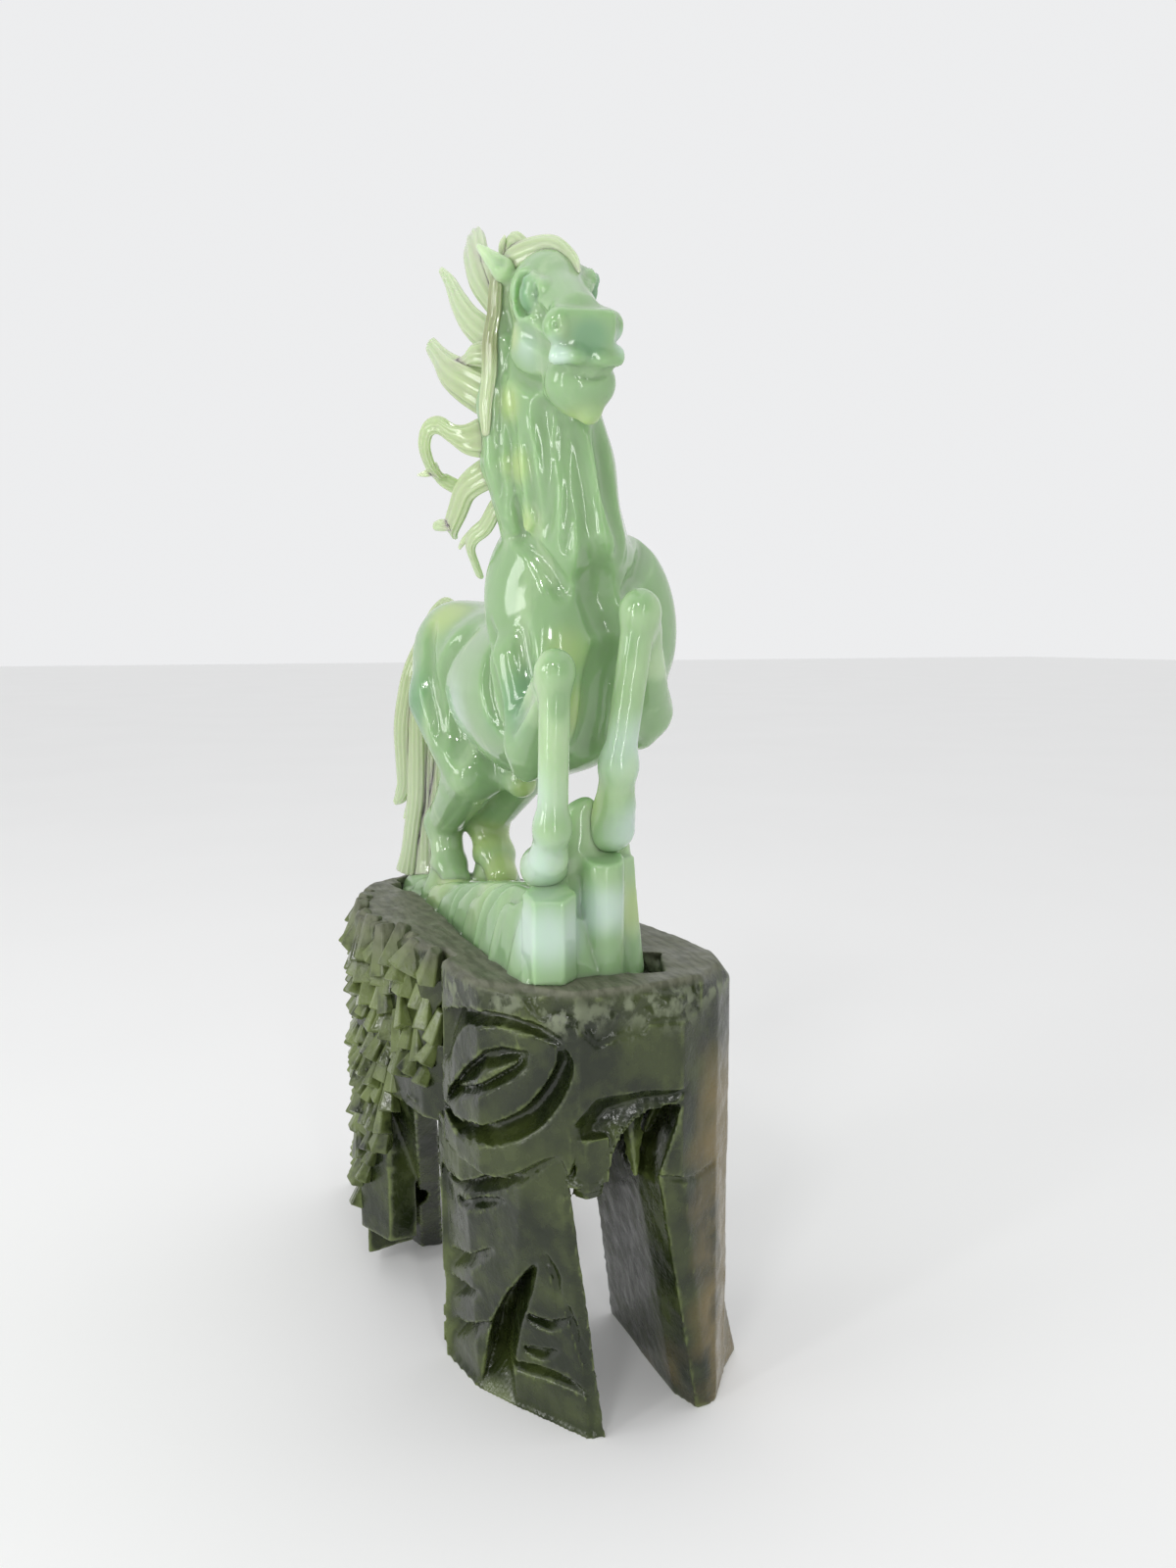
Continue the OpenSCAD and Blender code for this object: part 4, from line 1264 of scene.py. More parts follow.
mane_paths = [
    [F(34, -17.0, 162, 3.0), F(28, -19.2, 169.5, 3.6), F(22, -18.7, 176.7, 4.1), F(16, -17.1, 182.0, 3.9),
     F(11, -15.6, 185.0, 3.2)],
    [F(36, -17.5, 166, 2.4), F(30.7, -18.3, 173.4, 2.1), F(25.3, -18.5, 177.2, 1.4),
     F(20, -18.8, 179.4, 0.4)],
    [F(36, -17.0, 152, 4.2), F(27.5, -21.8, 159.5, 3.4), F(21, -23.2, 165.9, 2.7),
     F(14.5, -23.4, 172.3, 1.8), F(8, -23.7, 177, 0.9)],
    [F(36, -17.0, 139, 5.6), F(27.5, -23, 144.7, 5.0), F(21, -25.8, 148.8, 4.0),
     F(14.5, -26.4, 153.2, 2.8), F(8, -26.7, 157.5, 2.2)],
    [F(37, -17.0, 131, 6.4), F(33.6, -24.2, 130, 4.0), F(31.1, -28.2, 131.3, 2.3),
     F(28.7, -31.2, 133.6, 2.1), F(26.2, -33.3, 132.9, 2.1), F(23.8, -33.7, 129.8, 2.0),
     F(21.3, -32.2, 126.4, 2.0), F(18.9, -29.7, 123.7, 2.1), F(17.4, -26.6, 121.8, 1.9),
     F(19.0, -22.6, 119.5, 1.9)],
    [F(19, -28.6, 124.6, 1.7), F(17, -31.0, 123.4, 1.0), F(15, -33.0, 123, 0.3)],
    [F(37, -16.0, 124, 4.6), F(31.2, -21.4, 121.1, 3.8), F(26.4, -23.8, 118.4, 3.5),
     F(21.6, -24.4, 113.9, 3.2), F(16.8, -24.5, 110.3, 2.7), F(13.0, -22.9, 108.5, 1.8)],
    [F(18, -25.2, 110.2, 1.4), F(14, -26.6, 110.5, 1.5), F(11, -27.4, 110.5, 1.1)],
    [F(37, -14.5, 119, 3.0), F(32.7, -18.1, 113.2, 2.4), F(29.3, -19.6, 109.2, 2.3),
     F(26, -21.7, 106.7, 2.1), F(22.7, -21.4, 104, 1.7), F(19.3, -19, 100.4, 1.5),
     F(17, -17.0, 97.4, 1.3)],
    [F(24, -21.8, 107.6, 1.1), F(21, -22.7, 106, 0.9), F(18, -22.9, 104.5, 0.6)],
    [F(37, -18.0, 150, 3.8), F(32, -22.4, 150.7, 2.7), F(28, -23.6, 150, 1.7), F(24, -25.4, 149.7, 0.8)]]
neck_paths = [
    [F(42, -17.6, 172.6, 1.4), F(42, -20.4, 166.2, 1.9), F(42, -22.2, 159.3, 2.1),
     F(42, -23.5, 152.4, 2.3), F(42, -23.8, 144.4, 2.3), F(42, -24.9, 136.3, 2.0), F(42, -26, 130.4, 1.3)]]
forelock_paths = [
    [F(40, -16.5, 170, 3.0), F(45.2, -15.8, 173.3, 3.4), F(50.4, -13.3, 171.2, 3.0),
     F(55.6, -11.2, 168.1, 2.2), F(60.8, -9.7, 165.5, 1.5), F(65, -9.1, 163.2, 0.7)],
    [F(38, -16.5, 171, 1.8), F(40, -18.1, 174.5, 1.2), F(42, -18.3, 176.3, 0.4)],
    [F(38, -16, 169.5, 2.0), F(42.5, -16.2, 175.1, 2.3), F(47, -13.9, 174.3, 2.1),
     F(51.5, -11.8, 170.9, 1.6), F(56, -9.7, 167.9, 1.0)]]
tail_paths = [
    [F(-46, -4, 86, 3.8), F(-53, -4.5, 91, 2.8), F(-55.5, -7.4, 88, 3.0), F(-57.2, -11.1, 79.4, 3.2),
     F(-59.6, -14.6, 69.8, 3.6), F(-62, -16.1, 60, 3.9), F(-64.4, -16.7, 50, 3.9),
     F(-66.8, -15.9, 39.9, 3.7), F(-69.2, -15.4, 31.2, 3.2), F(-71.6, -16.2, 26.9, 2.6),
     F(-74, -17.4, 24.6, 1.2)],
    [F(-48, -5, 86, 3.2), F(-55.5, -9.7, 77.8, 3.0), F(-57, -12.4, 66.6, 3.5), F(-58.5, -13.2, 55.2, 4.0),
     F(-60, -13, 42, 4.2), F(-61.5, -13.0, 28.6, 4.2), F(-63, -14.0, 18.5, 3.8), F(-64.5, -15.1, 8.2, 3.8),
     F(-65.5, -16.0, 1.4, 4.6)],
    [F(-50, -5.0, 84, 2.4), F(-55, -8.0, 66, 3.0), F(-57.5, -9.5, 50, 3.6), F(-59, -9.9, 36, 4.2),
     F(-60, -9.9, 24, 4.2), F(-60, -10.5, 15.4, 4.0), F(-59.5, -10.9, 6, 4.4), F(-58.5, -11.4, 1.4, 5.0)],
    [F(-54, -6.5, 52, 1.8), F(-56, -7.8, 37, 3.0), F(-56, -8.2, 22.4, 3.6), F(-55.5, -7.6, 12.5, 3.6),
     F(-54.5, -7.8, 5, 4.0), F(-53, -8.6, 1.4, 4.4)],
    [F(-65, -12.5, 29, 2.0), F(-67, -14.8, 22.7, 1.4), F(-68, -16.3, 19.6, 0.3)]]
# the locks that lie on the neck and the brow follow the skin, proud of it by a share
for path, proud in ((neck_paths[0], -0.10), (forelock_paths[0][1:], 0.25),
                    (forelock_paths[2][2:], 0.45)):
    on_skin = horse.onto_skin([p[:3] for p in path])
    away = horse.slope(on_skin)
    for p, q, n in zip(path, on_skin, away):
        p[:3] = list(q + n * proud * p[3])

# %% The hair's node group
HAIR_FACING = (0.45, -0.89, 0.0)
HAIR_OUTLINE = 44
hair_stone = bpy.data.materials.new("pale jade hair")
hair = bpy.data.node_groups.new("swept locks", "GeometryNodeTree")
hair.interface.new_socket("Geometry", in_out="INPUT", socket_type="NodeSocketGeometry")
face_side = group_input(hair, "Facing", "NodeSocketVector", HAIR_FACING)
flatness = group_input(hair, "Flatness", "NodeSocketFloat", 0.45)
groove_count = group_input(hair, "Groove Count", "NodeSocketFloat", 9.0)
groove_depth = group_input(hair, "Groove Depth", "NodeSocketFloat", 0.1)
outline_points = group_input(hair, "Outline Points", "NodeSocketInt", HAIR_OUTLINE)
hair.interface.new_socket("Geometry", in_out="OUTPUT", socket_type="NodeSocketGeometry")
g_in, g_out = node(hair, "NodeGroupInput"), node(hair, "NodeGroupOutput")
ring = node(hair, "GeometryNodeCurvePrimitiveCircle")
ring.inputs["Radius"].default_value = 1.0
hair.links.new(g_in.outputs["Outline Points"], ring.inputs["Resolution"])
along = node(hair, "GeometryNodeSplineParameter")
angle = node(hair, "ShaderNodeMath", operation="MULTIPLY")
angle.inputs[1].default_value = 2 * math.pi
waves = node(hair, "ShaderNodeMath", operation="MULTIPLY")
cosine = node(hair, "ShaderNodeMath", operation="COSINE")
deep = node(hair, "ShaderNodeMath", operation="MULTIPLY_ADD")
deep.inputs[2].default_value = 1.0
hair.links.new(along.outputs["Factor"], angle.inputs[0])
hair.links.new(angle.outputs[0], waves.inputs[0])
hair.links.new(g_in.outputs["Groove Count"], waves.inputs[1])
hair.links.new(waves.outputs[0], cosine.inputs[0])
hair.links.new(cosine.outputs[0], deep.inputs[0])
hair.links.new(g_in.outputs["Groove Depth"], deep.inputs[1])
spot = node(hair, "GeometryNodeInputPosition")
grooved = node(hair, "ShaderNodeVectorMath", operation="SCALE")
hair.links.new(spot.outputs[0], grooved.inputs[0])
hair.links.new(deep.outputs[0], grooved.inputs["Scale"])
thin = node(hair, "ShaderNodeCombineXYZ")
thin.inputs["Y"].default_value = 1.0
thin.inputs["Z"].default_value = 1.0
hair.links.new(g_in.outputs["Flatness"], thin.inputs["X"])
flat = node(hair, "ShaderNodeVectorMath", operation="MULTIPLY")
hair.links.new(grooved.outputs[0], flat.inputs[0])
hair.links.new(thin.outputs[0], flat.inputs[1])
place = node(hair, "GeometryNodeSetPosition")
hair.links.new(ring.outputs["Curve"], place.inputs["Geometry"])
hair.links.new(flat.outputs[0], place.inputs["Position"])
tangent = node(hair, "GeometryNodeInputTangent")
shared_part = node(hair, "ShaderNodeVectorMath", operation="PROJECT")
hair.links.new(g_in.outputs["Facing"], shared_part.inputs[0])
hair.links.new(tangent.outputs[0], shared_part.inputs[1])
square = node(hair, "ShaderNodeVectorMath", operation="SUBTRACT")
hair.links.new(g_in.outputs["Facing"], square.inputs[0])
hair.links.new(shared_part.outputs[0], square.inputs[1])
unit = node(hair, "ShaderNodeVectorMath", operation="NORMALIZE")
hair.links.new(square.outputs[0], unit.inputs[0])
turned = node(hair, "GeometryNodeSetCurveNormal", mode="FREE")
hair.links.new(g_in.outputs["Geometry"], turned.inputs["Curve"])
hair.links.new(unit.outputs[0], turned.inputs["Normal"])
radius = node(hair, "GeometryNodeInputRadius")
sweep = node(hair, "GeometryNodeCurveToMesh")
sweep.inputs["Fill Caps"].default_value = True
hair.links.new(turned.outputs["Curve"], sweep.inputs["Curve"])
hair.links.new(place.outputs["Geometry"], sweep.inputs["Profile Curve"])
hair.links.new(radius.outputs[0], sweep.inputs["Scale"])
real = node(hair, "GeometryNodeRealizeInstances")
stone_on = node(hair, "GeometryNodeSetMaterial")
stone_on.inputs["Material"].default_value = hair_stone
hair.links.new(sweep.outputs["Mesh"], real.inputs["Geometry"])
hair.links.new(real.outputs["Geometry"], stone_on.inputs["Geometry"])
hair.links.new(stone_on.outputs["Geometry"], g_out.inputs[0])


# %% Sweep the tufts
def tuft(name, paths, flat_by, grooves, depth):
    """All the locks of one tuft, each closed with a tapering tip, except tail locks that end low on the
    rock.
    """
    data = bpy.data.curves.new(name, "CURVE")
    data.dimensions = "3D"
    for path in paths:
        p = smooth_path(np.array(path), 7)
        way = p[-1, :3] - p[-2, :3]
        way = way / np.linalg.norm(way)
        tip = []
        for reach, share in ((0.35, 0.86), (0.6, 0.55), (0.72, 0.2)):
            tip.append(list(p[-1, :3] + way * p[-1, 3] * reach) + [p[-1, 3] * share])
        if name == "tail" and p[-1, 2] < stand_top + 4:
            tip = []
        p = np.vstack([p, tip]) if tip else p
        line = data.splines.new("POLY")
        line.points.add(len(p) - 1)
        for spot, (px, py, pz, half) in zip(line.points, p):
            spot.co = (px * MM, py * MM, pz * MM, 1.0)
            spot.radius = max(half, 0.05) * MM
    piece = into_scene(name, data)
    growth = piece.modifiers.new("swept locks", "NODES")
    growth.node_group = hair
    growth[face_side] = HAIR_FACING
    growth[flatness] = flat_by
    growth[groove_count] = grooves
    growth[groove_depth] = depth
    growth[outline_points] = HAIR_OUTLINE
    piece = as_plain_mesh(piece)
    piece.data.shade_smooth()
    print(name, "locks:", len(paths), "corners:", len(piece.data.vertices))
    return piece


mane_piece = tuft("mane", mane_paths + neck_paths, flat_by=0.52, grooves=9.0, depth=0.08)
forelock_piece = tuft("forelock", forelock_paths, flat_by=0.6, grooves=9.0, depth=0.07)
tail_piece = tuft("tail", tail_paths, flat_by=0.62, grooves=13.0, depth=0.07)

# %% [markdown]
# ## Where the stone changes colour
# Jade is cloudy. Thin stone lets light through and looks pale and yellow, thick stone
# looks deep green; the finishes paint that light through the stone, and its lack, into the
# colour. Skin and stains come in patches. The stones store these places as values on their
# own corners: the depth of the stone, how sharp the edge is, and soft spots of warm, milky
# and deep colour. The finishes below read those values.

# %% Store values on corners
def store(piece, name, values):
    """Store one value between 0 and 1 on each corner."""
    layer = piece.data.attributes.get(name) or piece.data.attributes.new(name, "FLOAT", "POINT")
    layer.data.foreach_set("value", np.clip(values, 0, 1).astype(np.float32))


def store_patches(piece, name, places):
    """Soft round patches: a centre, a radius and a strength each."""
    points = corners_of(piece)
    value = np.zeros(len(points))
    for centre, size, strength in places:
        near = 1 - np.linalg.norm(points - np.array(centre), axis=1) / size
        near = np.clip(near, 0, 1)
        value = np.maximum(value, strength * near * near * (3 - 2 * near))
    store(piece, name, value)
    print(piece.name, name, "share:", round(float(value.mean()), 3))


def note_edges(piece, rounds):
    """Store how far each corner stands out of its neighbours: 0.5 is flat."""
    points = corners_of(piece)
    count = len(points)
    ends = edges_of(piece)
    share = np.maximum(np.bincount(ends.ravel(), minlength=count), 1)
    normal = np.empty(count * 3, np.float32)
    piece.data.vertices.foreach_get("normal", normal)
    smooth = points.copy()
    for _ in range(rounds):
        total = np.zeros_like(smooth)
        for k in range(3):
            total[:, k] += np.bincount(ends[:, 0], weights=smooth[ends[:, 1], k], minlength=count)
            total[:, k] += np.bincount(ends[:, 1], weights=smooth[ends[:, 0], k], minlength=count)
        smooth = 0.5 * smooth + 0.5 * total / share[:, None]
    out = ((points - smooth) * normal.reshape(-1, 3)).sum(1)
    store(piece, "edge", 0.5 + out / 0.6)
    print(piece.name, "edges stored")


# %% The horse's patches
# The legs are thin, so the milk on them is painted light passing through them; the other milky spots are
# the stone's own cloud.
limbs = [(H(66, -22, 45), 16), (H(68, -22, 28), 16), (H(70, -22, 12), 16), (H(70, 2, 55), 16),
         (H(68, 5, 35), 15), (H(70, 4, 20), 14)]
note_edges(horse_piece, 8)
milky = [(H(79, -21, 141), 7, 1.0), (H(80, -4, 145), 6, 0.8), (H(0, -24, 58), 24, 0.75),
         (H(66, -12, 157), 9, 0.5), (H(60, -22, 146), 11, 0.6)]
store_patches(horse_piece, "milk", [(p, r, 0.75) for p, r in limbs] + milky)
store_patches(horse_piece, "warm", [
    (H(4, 3, 36), 12, 1.0), (H(60, -6, 62), 15, 0.9), (H(60, -6, 44), 15, 0.9),
    (H(56, -8, 78), 13, 0.6), (H(48, -19, 122), 9, 0.8), (H(47, -18, 137), 9, 0.8),
    (H(48, -17, 108), 9, 0.7), (H(-28, -12, 88), 15, 0.8), (H(-44, -4, 84), 12, 0.9),
    (H(-36, 4, 16), 16, 1.0), (H(-24, 4, 8), 14, 1.0), (H(70, -10, 130), 11, 0.75),
    (H(55, -20, 150), 6, 0.7), (H(60, 4, 70), 10, 0.6), (H(60, 3, 10), 14, 0.7),
    (H(10, -8, 32), 18, 0.7)])
# Deeper green on the nose, the eyes, the chest, the belly, the haunch and by an ear; on the thick nose it
# is painted shade where little light gets through.
store_patches(horse_piece, "deep", [
    (H(80, -13, 145), 7.5, 0.9), (H(61, -21.9, 158.4), 7.5, 1.6), (H(60, -2.2, 161.6), 7.0, 1.6),
    (H(52, -19, 66), 17, 0.8), (H(-36, -22, 60), 22, 0.8), (H(44, -16, 176), 8, 0.5),
    (H(20, -18, 40), 20, 0.6), (H(30, -22, 58), 12, 0.5)])

# %% The hair's, the rock's and the stand's patches
store_patches(mane_piece, "warm", [(H(24, -22, 130), 60, 0.7)])
store_patches(mane_piece, "milk", [(H(14, -28, 126), 14, 0.6), (H(12, -25, 108), 12, 0.5)])
store_patches(mane_piece, "deep", [(H(42, -19, 168), 16, 1.0), (H(42, -22, 152), 14, 0.8),
                                   (H(42, -23, 160), 12, 1.0)])
store_patches(forelock_piece, "warm", [(H(45, -15, 172), 14, 0.5)])
store_patches(forelock_piece, "milk", [(H(40, -16, 176), 6, 0.4)])
store_patches(forelock_piece, "deep", [(H(40, -17, 170), 4, 0.3)])
store_patches(tail_piece, "warm", [(H(-58, -8, 70), 60, 0.8)])
store_patches(tail_piece, "milk", [(H(-60, -12, 8), 16, 0.3)])
store_patches(tail_piece, "deep", [(H(-50, -5, 88), 10, 0.3)])
note_edges(rock_piece, 6)
store_patches(rock_piece, "warm", [(H(60, 4, 14), 14, 0.8), (H(20, -12, 8), 22, 0.5),
                                   (H(-30, -10, 2), 20, 0.7)])
store_patches(rock_piece, "milk", [(H(66, -18, 12), 15, 1.2), (H(66, -3, 16), 12, 1.1),
                                   (H(40, -18, 4), 14, 0.5)])
store_patches(rock_piece, "deep", [(H(0, -10, 2), 18, 0.4), (H(50, -20, 2), 14, 0.4)])
for piece in (stand_piece, bark_piece):
    note_edges(piece, 5)
    p = corners_of(piece)
    ragged = lump_noise(p[:, 0], p[:, 1], p[:, 2], 7.0, 31)
    band = np.clip(1 - np.abs(p[:, 2] - (stand_top - 4.5)) / 6.5 + 0.5 * ragged, 0, 1)
    band *= p[:, 2] < stand_top - 0.25
    store(piece, "scuffed", band)
    ochre = np.clip((p[:, 0] - 48 * stand_x) / 14, 0, 1)
    ochre = ochre * np.clip((p[:, 1] - 19 * stand_y) / 9 + ragged * 0.5, 0, 1)
    ochre *= np.clip((100 - p[:, 2]) / 18, 0, 1)
    store(piece, "ochre", ochre)
    store(piece, "flat_top", np.clip((p[:, 2] - (stand_top - 2.2)) / 1.6, 0, 1))
print("patches stored")

# %% [markdown]
# ## The pale jade finish
# Jade scatters light under its skin, so the shader's subsurface does most of the work,
# and its radius is a few millimetres because the legs glow when lit from behind. The
# clouds, the painted light that makes thin stone pale, and the stains come from one node
# group that mixes the stored values with noise. The horse and its hair use the group with their own
# colours.

# %% Short names for node work
def math_node(group, kind, a, b=None, c=None, clamp=False):
    made = node(group, "ShaderNodeMath", operation=kind, use_clamp=clamp)
    for slot, value in zip(made.inputs, (a, b, c)):
        if value is None:
            continue
        if isinstance(value, (int, float)):
            slot.default_value = value
        else:
            group.links.new(value, slot)
    return made.outputs[0]


def mix_colour(group, amount, first, second):
    made = node(group, "ShaderNodeMix", data_type="RGBA")
    for slot, value in ((made.inputs[0], amount), (made.inputs[6], first), (made.inputs[7], second)):
        if isinstance(value, (int, float, tuple)):
            slot.default_value = value
        else:
            group.links.new(value, slot)
    return made.outputs[2]


def noise_of(group, where, size, detail, stretch=(1, 1, 1)):
    """Noise with blobs of the given size in metres, stretched if asked."""
    scaled = node(group, "ShaderNodeVectorMath", operation="MULTIPLY")
    scaled.inputs[1].default_value = stretch
    group.links.new(where, scaled.inputs[0])
    made = node(group, "ShaderNodeTexNoise")
    made.inputs["Scale"].default_value = 1.0 / size
    made.inputs["Detail"].default_value = detail
    group.links.new(scaled.outputs[0], made.inputs["Vector"])
    return made.outputs["Fac"]


def stored(group, name):
    made = node(group, "ShaderNodeAttribute", attribute_name=name)
    return made.outputs["Fac"]


def spread_out(group, value, low, high):
    made = node(group, "ShaderNodeMapRange", interpolation_type="SMOOTHSTEP")
    made.inputs["From Min"].default_value = low
    made.inputs["From Max"].default_value = high
    group.links.new(value, made.inputs["Value"])
    return made.outputs["Result"]


print("node helpers ready")

# %% The clouded jade group
jade = bpy.data.node_groups.new("clouded jade", "ShaderNodeTree")
for name, kind, value in (
        ("Depth", "NodeSocketFloat", 0.5), ("Warm", "NodeSocketFloat", 0.0),
        ("Milk", "NodeSocketFloat", 0.0), ("Deep", "NodeSocketFloat", 0.0),
        ("Thin Colour", "NodeSocketColor", (0.6, 0.8, 0.5, 1)),
        ("Thick Colour", "NodeSocketColor", (0.2, 0.45, 0.2, 1)),
        ("Warm Colour", "NodeSocketColor", (0.6, 0.7, 0.2, 1)),
        ("Milk Colour", "NodeSocketColor", (0.7, 0.85, 0.7, 1)),
        ("Deep Colour", "NodeSocketColor", (0.1, 0.35, 0.15, 1)), ("Cloud Size", "NodeSocketFloat", 1.0)):
    group_input(jade, name, kind, value)
jade.interface.new_socket("Colour", in_out="OUTPUT", socket_type="NodeSocketColor")
jade.interface.new_socket("Cloud", in_out="OUTPUT", socket_type="NodeSocketFloat")
g_in, g_out = node(jade, "NodeGroupInput"), node(jade, "NodeGroupOutput")
place = node(jade, "ShaderNodeTexCoord")
sized = node(jade, "ShaderNodeVectorMath", operation="SCALE")
jade.links.new(place.outputs["Object"], sized.inputs[0])
jade.links.new(g_in.outputs["Cloud Size"], sized.inputs["Scale"])
broad = noise_of(jade, sized.outputs[0], 0.034, 2.0, (1.0, 1.0, 0.55))
fine = noise_of(jade, sized.outputs[0], 0.0085, 4.0, (1.0, 1.0, 0.45))
veins = noise_of(jade, sized.outputs[0], 0.0135, 5.0, (1.6, 1.2, 0.35))
cloud = math_node(jade, "MULTIPLY_ADD", broad, 1.1, math_node(jade, "MULTIPLY_ADD", fine, 0.5, -0.8))
# Painted light through the stone: thin stone is mixed toward the pale thin colour, thick stone toward the
# deep green thick colour.
thick = math_node(jade, "MULTIPLY_ADD", g_in.outputs["Depth"], 1.15, cloud, clamp=True)
colour = mix_colour(jade, thick, g_in.outputs["Thin Colour"], g_in.outputs["Thick Colour"])
for name, low, high, share in (("Deep", 0.1, 0.8, 0.85), ("Milk", 0.1, 0.85, 0.8),
                               ("Warm", 0.1, 0.85, 0.75)):
    mask = math_node(jade, "ADD", g_in.outputs[name], math_node(jade, "MULTIPLY", cloud, 0.35))
    mask = math_node(jade, "MULTIPLY", spread_out(jade, mask, low, high), share)
    colour = mix_colour(jade, mask, colour, g_in.outputs[name + " Colour"])
vein_mask = math_node(jade, "MULTIPLY", spread_out(jade, veins, 0.56, 0.72), 0.35)
colour = mix_colour(jade, vein_mask, colour, g_in.outputs["Thin Colour"])
jade.links.new(colour, g_out.inputs["Colour"])
jade.links.new(math_node(jade, "ADD", cloud, 0.5, clamp=True), g_out.inputs["Cloud"])
print("clouded jade has", len(jade.nodes), "nodes")


# %% A jade material around the group
def pale_jade(material, thin, thick, warm, milk, deep, reach):
    material.use_nodes = True
    tree = material.node_tree
    shader = tree.nodes["Principled BSDF"]
    clouds = node(tree, "ShaderNodeGroup", node_tree=jade)
    for name in ("Depth", "Warm", "Milk", "Deep"):
        tree.links.new(stored(tree, name.lower()), clouds.inputs[name])
    for name, value in (("Thin", thin), ("Thick", thick), ("Warm", warm), ("Milk", milk),
                        ("Deep", deep)):
        clouds.inputs[name + " Colour"].default_value = (*value, 1)
    tree.links.new(clouds.outputs["Colour"], shader.inputs["Base Color"])
    place = node(tree, "ShaderNodeTexCoord")
    hand = noise_of(tree, place.outputs["Object"], 0.012, 3.0)
    tree.links.new(math_node(tree, "MULTIPLY_ADD", hand, 0.12, 0.035), shader.inputs["Roughness"])
    polish = node(tree, "ShaderNodeBump")
    polish.inputs["Strength"].default_value = 0.25
    polish.inputs["Distance"].default_value = 0.0006
    tree.links.new(noise_of(tree, place.outputs["Object"], 0.009, 1.0), polish.inputs["Height"])
    tree.links.new(polish.outputs["Normal"], shader.inputs["Normal"])
    shader.inputs["Subsurface Weight"].default_value = 1.0
    shader.inputs["Subsurface Radius"].default_value = (0.8, 1.0, 0.7)
    shader.inputs["Subsurface Scale"].default_value = reach
    shader.inputs["IOR"].default_value = 1.62
    print(material.name, "mixed")


pale_stone = bpy.data.materials.new("pale jade")
pale_jade(pale_stone, thin=(0.54, 0.69, 0.43), thick=(0.30, 0.46, 0.24), warm=(0.50, 0.62, 0.26),
          milk=(0.58, 0.71, 0.65), deep=(0.19, 0.37, 0.20), reach=0.0045)
pale_jade(hair_stone, thin=(0.50, 0.59, 0.38), thick=(0.42, 0.53, 0.32), warm=(0.45, 0.54, 0.29),
          milk=(0.58, 0.66, 0.50), deep=(0.22, 0.23, 0.10), reach=0.0035)


def dress(stone, *pieces):
    """Give pieces one material in place of any they have."""
    for piece in pieces:
        piece.data.materials.clear()
        piece.data.materials.append(stone)


dress(pale_stone, horse_piece, rock_piece)
dress(hair_stone, mane_piece, forelock_piece, tail_piece)

# %% [markdown]
# ## The dark jade finish
# The stand's stone is nearly black where it is thick, and a painted yellow green glow
# along its thin sharp edges stands in for light coming through them. Cut faces are scuffed
# white, the top is only ground, and one leg shows a brown rind. One group makes the mottle,
# the painted glow on sharp edges and thin stone, and the scuffs. The
# carved faces and the bark fingers use it with different amounts.

# %% The dark stone group: mottle, scuffs and painted glow
wear_and_glow = bpy.data.node_groups.new("dark stone wear and glow", "ShaderNodeTree")
for name, kind, value in (
        ("Edge", "NodeSocketFloat", 0.5), ("Scuffed", "NodeSocketFloat", 0.0),
        ("Ochre", "NodeSocketFloat", 0.0), ("Flat Top", "NodeSocketFloat", 0.0),
        ("Depth", "NodeSocketFloat", 0.3), ("Dark Colour", "NodeSocketColor", (0.02, 0.03, 0.01, 1)),
        ("Light Colour", "NodeSocketColor", (0.1, 0.14, 0.06, 1)),
        ("Edge Colour", "NodeSocketColor", (0.3, 0.4, 0.1, 1)),
        ("Ochre Colour", "NodeSocketColor", (0.25, 0.17, 0.04, 1)),
        ("Top Colour", "NodeSocketColor", (0.2, 0.21, 0.14, 1)), ("Edge Glow", "NodeSocketFloat", 1.0)):
    group_input(wear_and_glow, name, kind, value)
wear_and_glow.interface.new_socket("Colour", in_out="OUTPUT", socket_type="NodeSocketColor")
wear_and_glow.interface.new_socket("Roughness", in_out="OUTPUT", socket_type="NodeSocketFloat")
wear_and_glow.interface.new_socket("Height", in_out="OUTPUT", socket_type="NodeSocketFloat")
g_in, g_out = node(wear_and_glow, "NodeGroupInput"), node(wear_and_glow, "NodeGroupOutput")
place = node(wear_and_glow, "ShaderNodeTexCoord").outputs["Object"]
mottle = noise_of(wear_and_glow, place, 0.020, 6.0)
patch = noise_of(wear_and_glow, place, 0.0055, 5.0)
grit = noise_of(wear_and_glow, place, 0.0009, 4.0)
strokes = noise_of(wear_and_glow, place, 0.0034, 6.0, (1.0, 1.0, 0.8))
scratch = noise_of(wear_and_glow, place, 0.0030, 5.0, (0.35, 1.6, 1.0))
light = math_node(wear_and_glow, "MULTIPLY", spread_out(wear_and_glow, mottle, 0.42, 0.66), 0.75)
light = math_node(wear_and_glow, "MULTIPLY_ADD", spread_out(wear_and_glow, patch, 0.46, 0.7), 0.4, light, clamp=True)
colour = mix_colour(wear_and_glow, light, g_in.outputs["Dark Colour"], g_in.outputs["Light Colour"])
ochre = math_node(wear_and_glow, "MULTIPLY", g_in.outputs["Ochre"], spread_out(wear_and_glow, mottle, 0.30, 0.52))
colour = mix_colour(wear_and_glow, ochre, colour, g_in.outputs["Ochre Colour"])
# Painted glow: sharp edges, where the noise allows, turn toward the yellow-green edge colour, standing in
# for light through the thin edge.
sharp = spread_out(wear_and_glow, g_in.outputs["Edge"], 0.62, 1.0)
rim = math_node(wear_and_glow, "MULTIPLY", sharp, g_in.outputs["Edge Glow"])
rim = math_node(wear_and_glow, "MULTIPLY", rim, spread_out(wear_and_glow, patch, 0.30, 0.55), clamp=True)
colour = mix_colour(wear_and_glow, rim, colour, g_in.outputs["Edge Colour"])
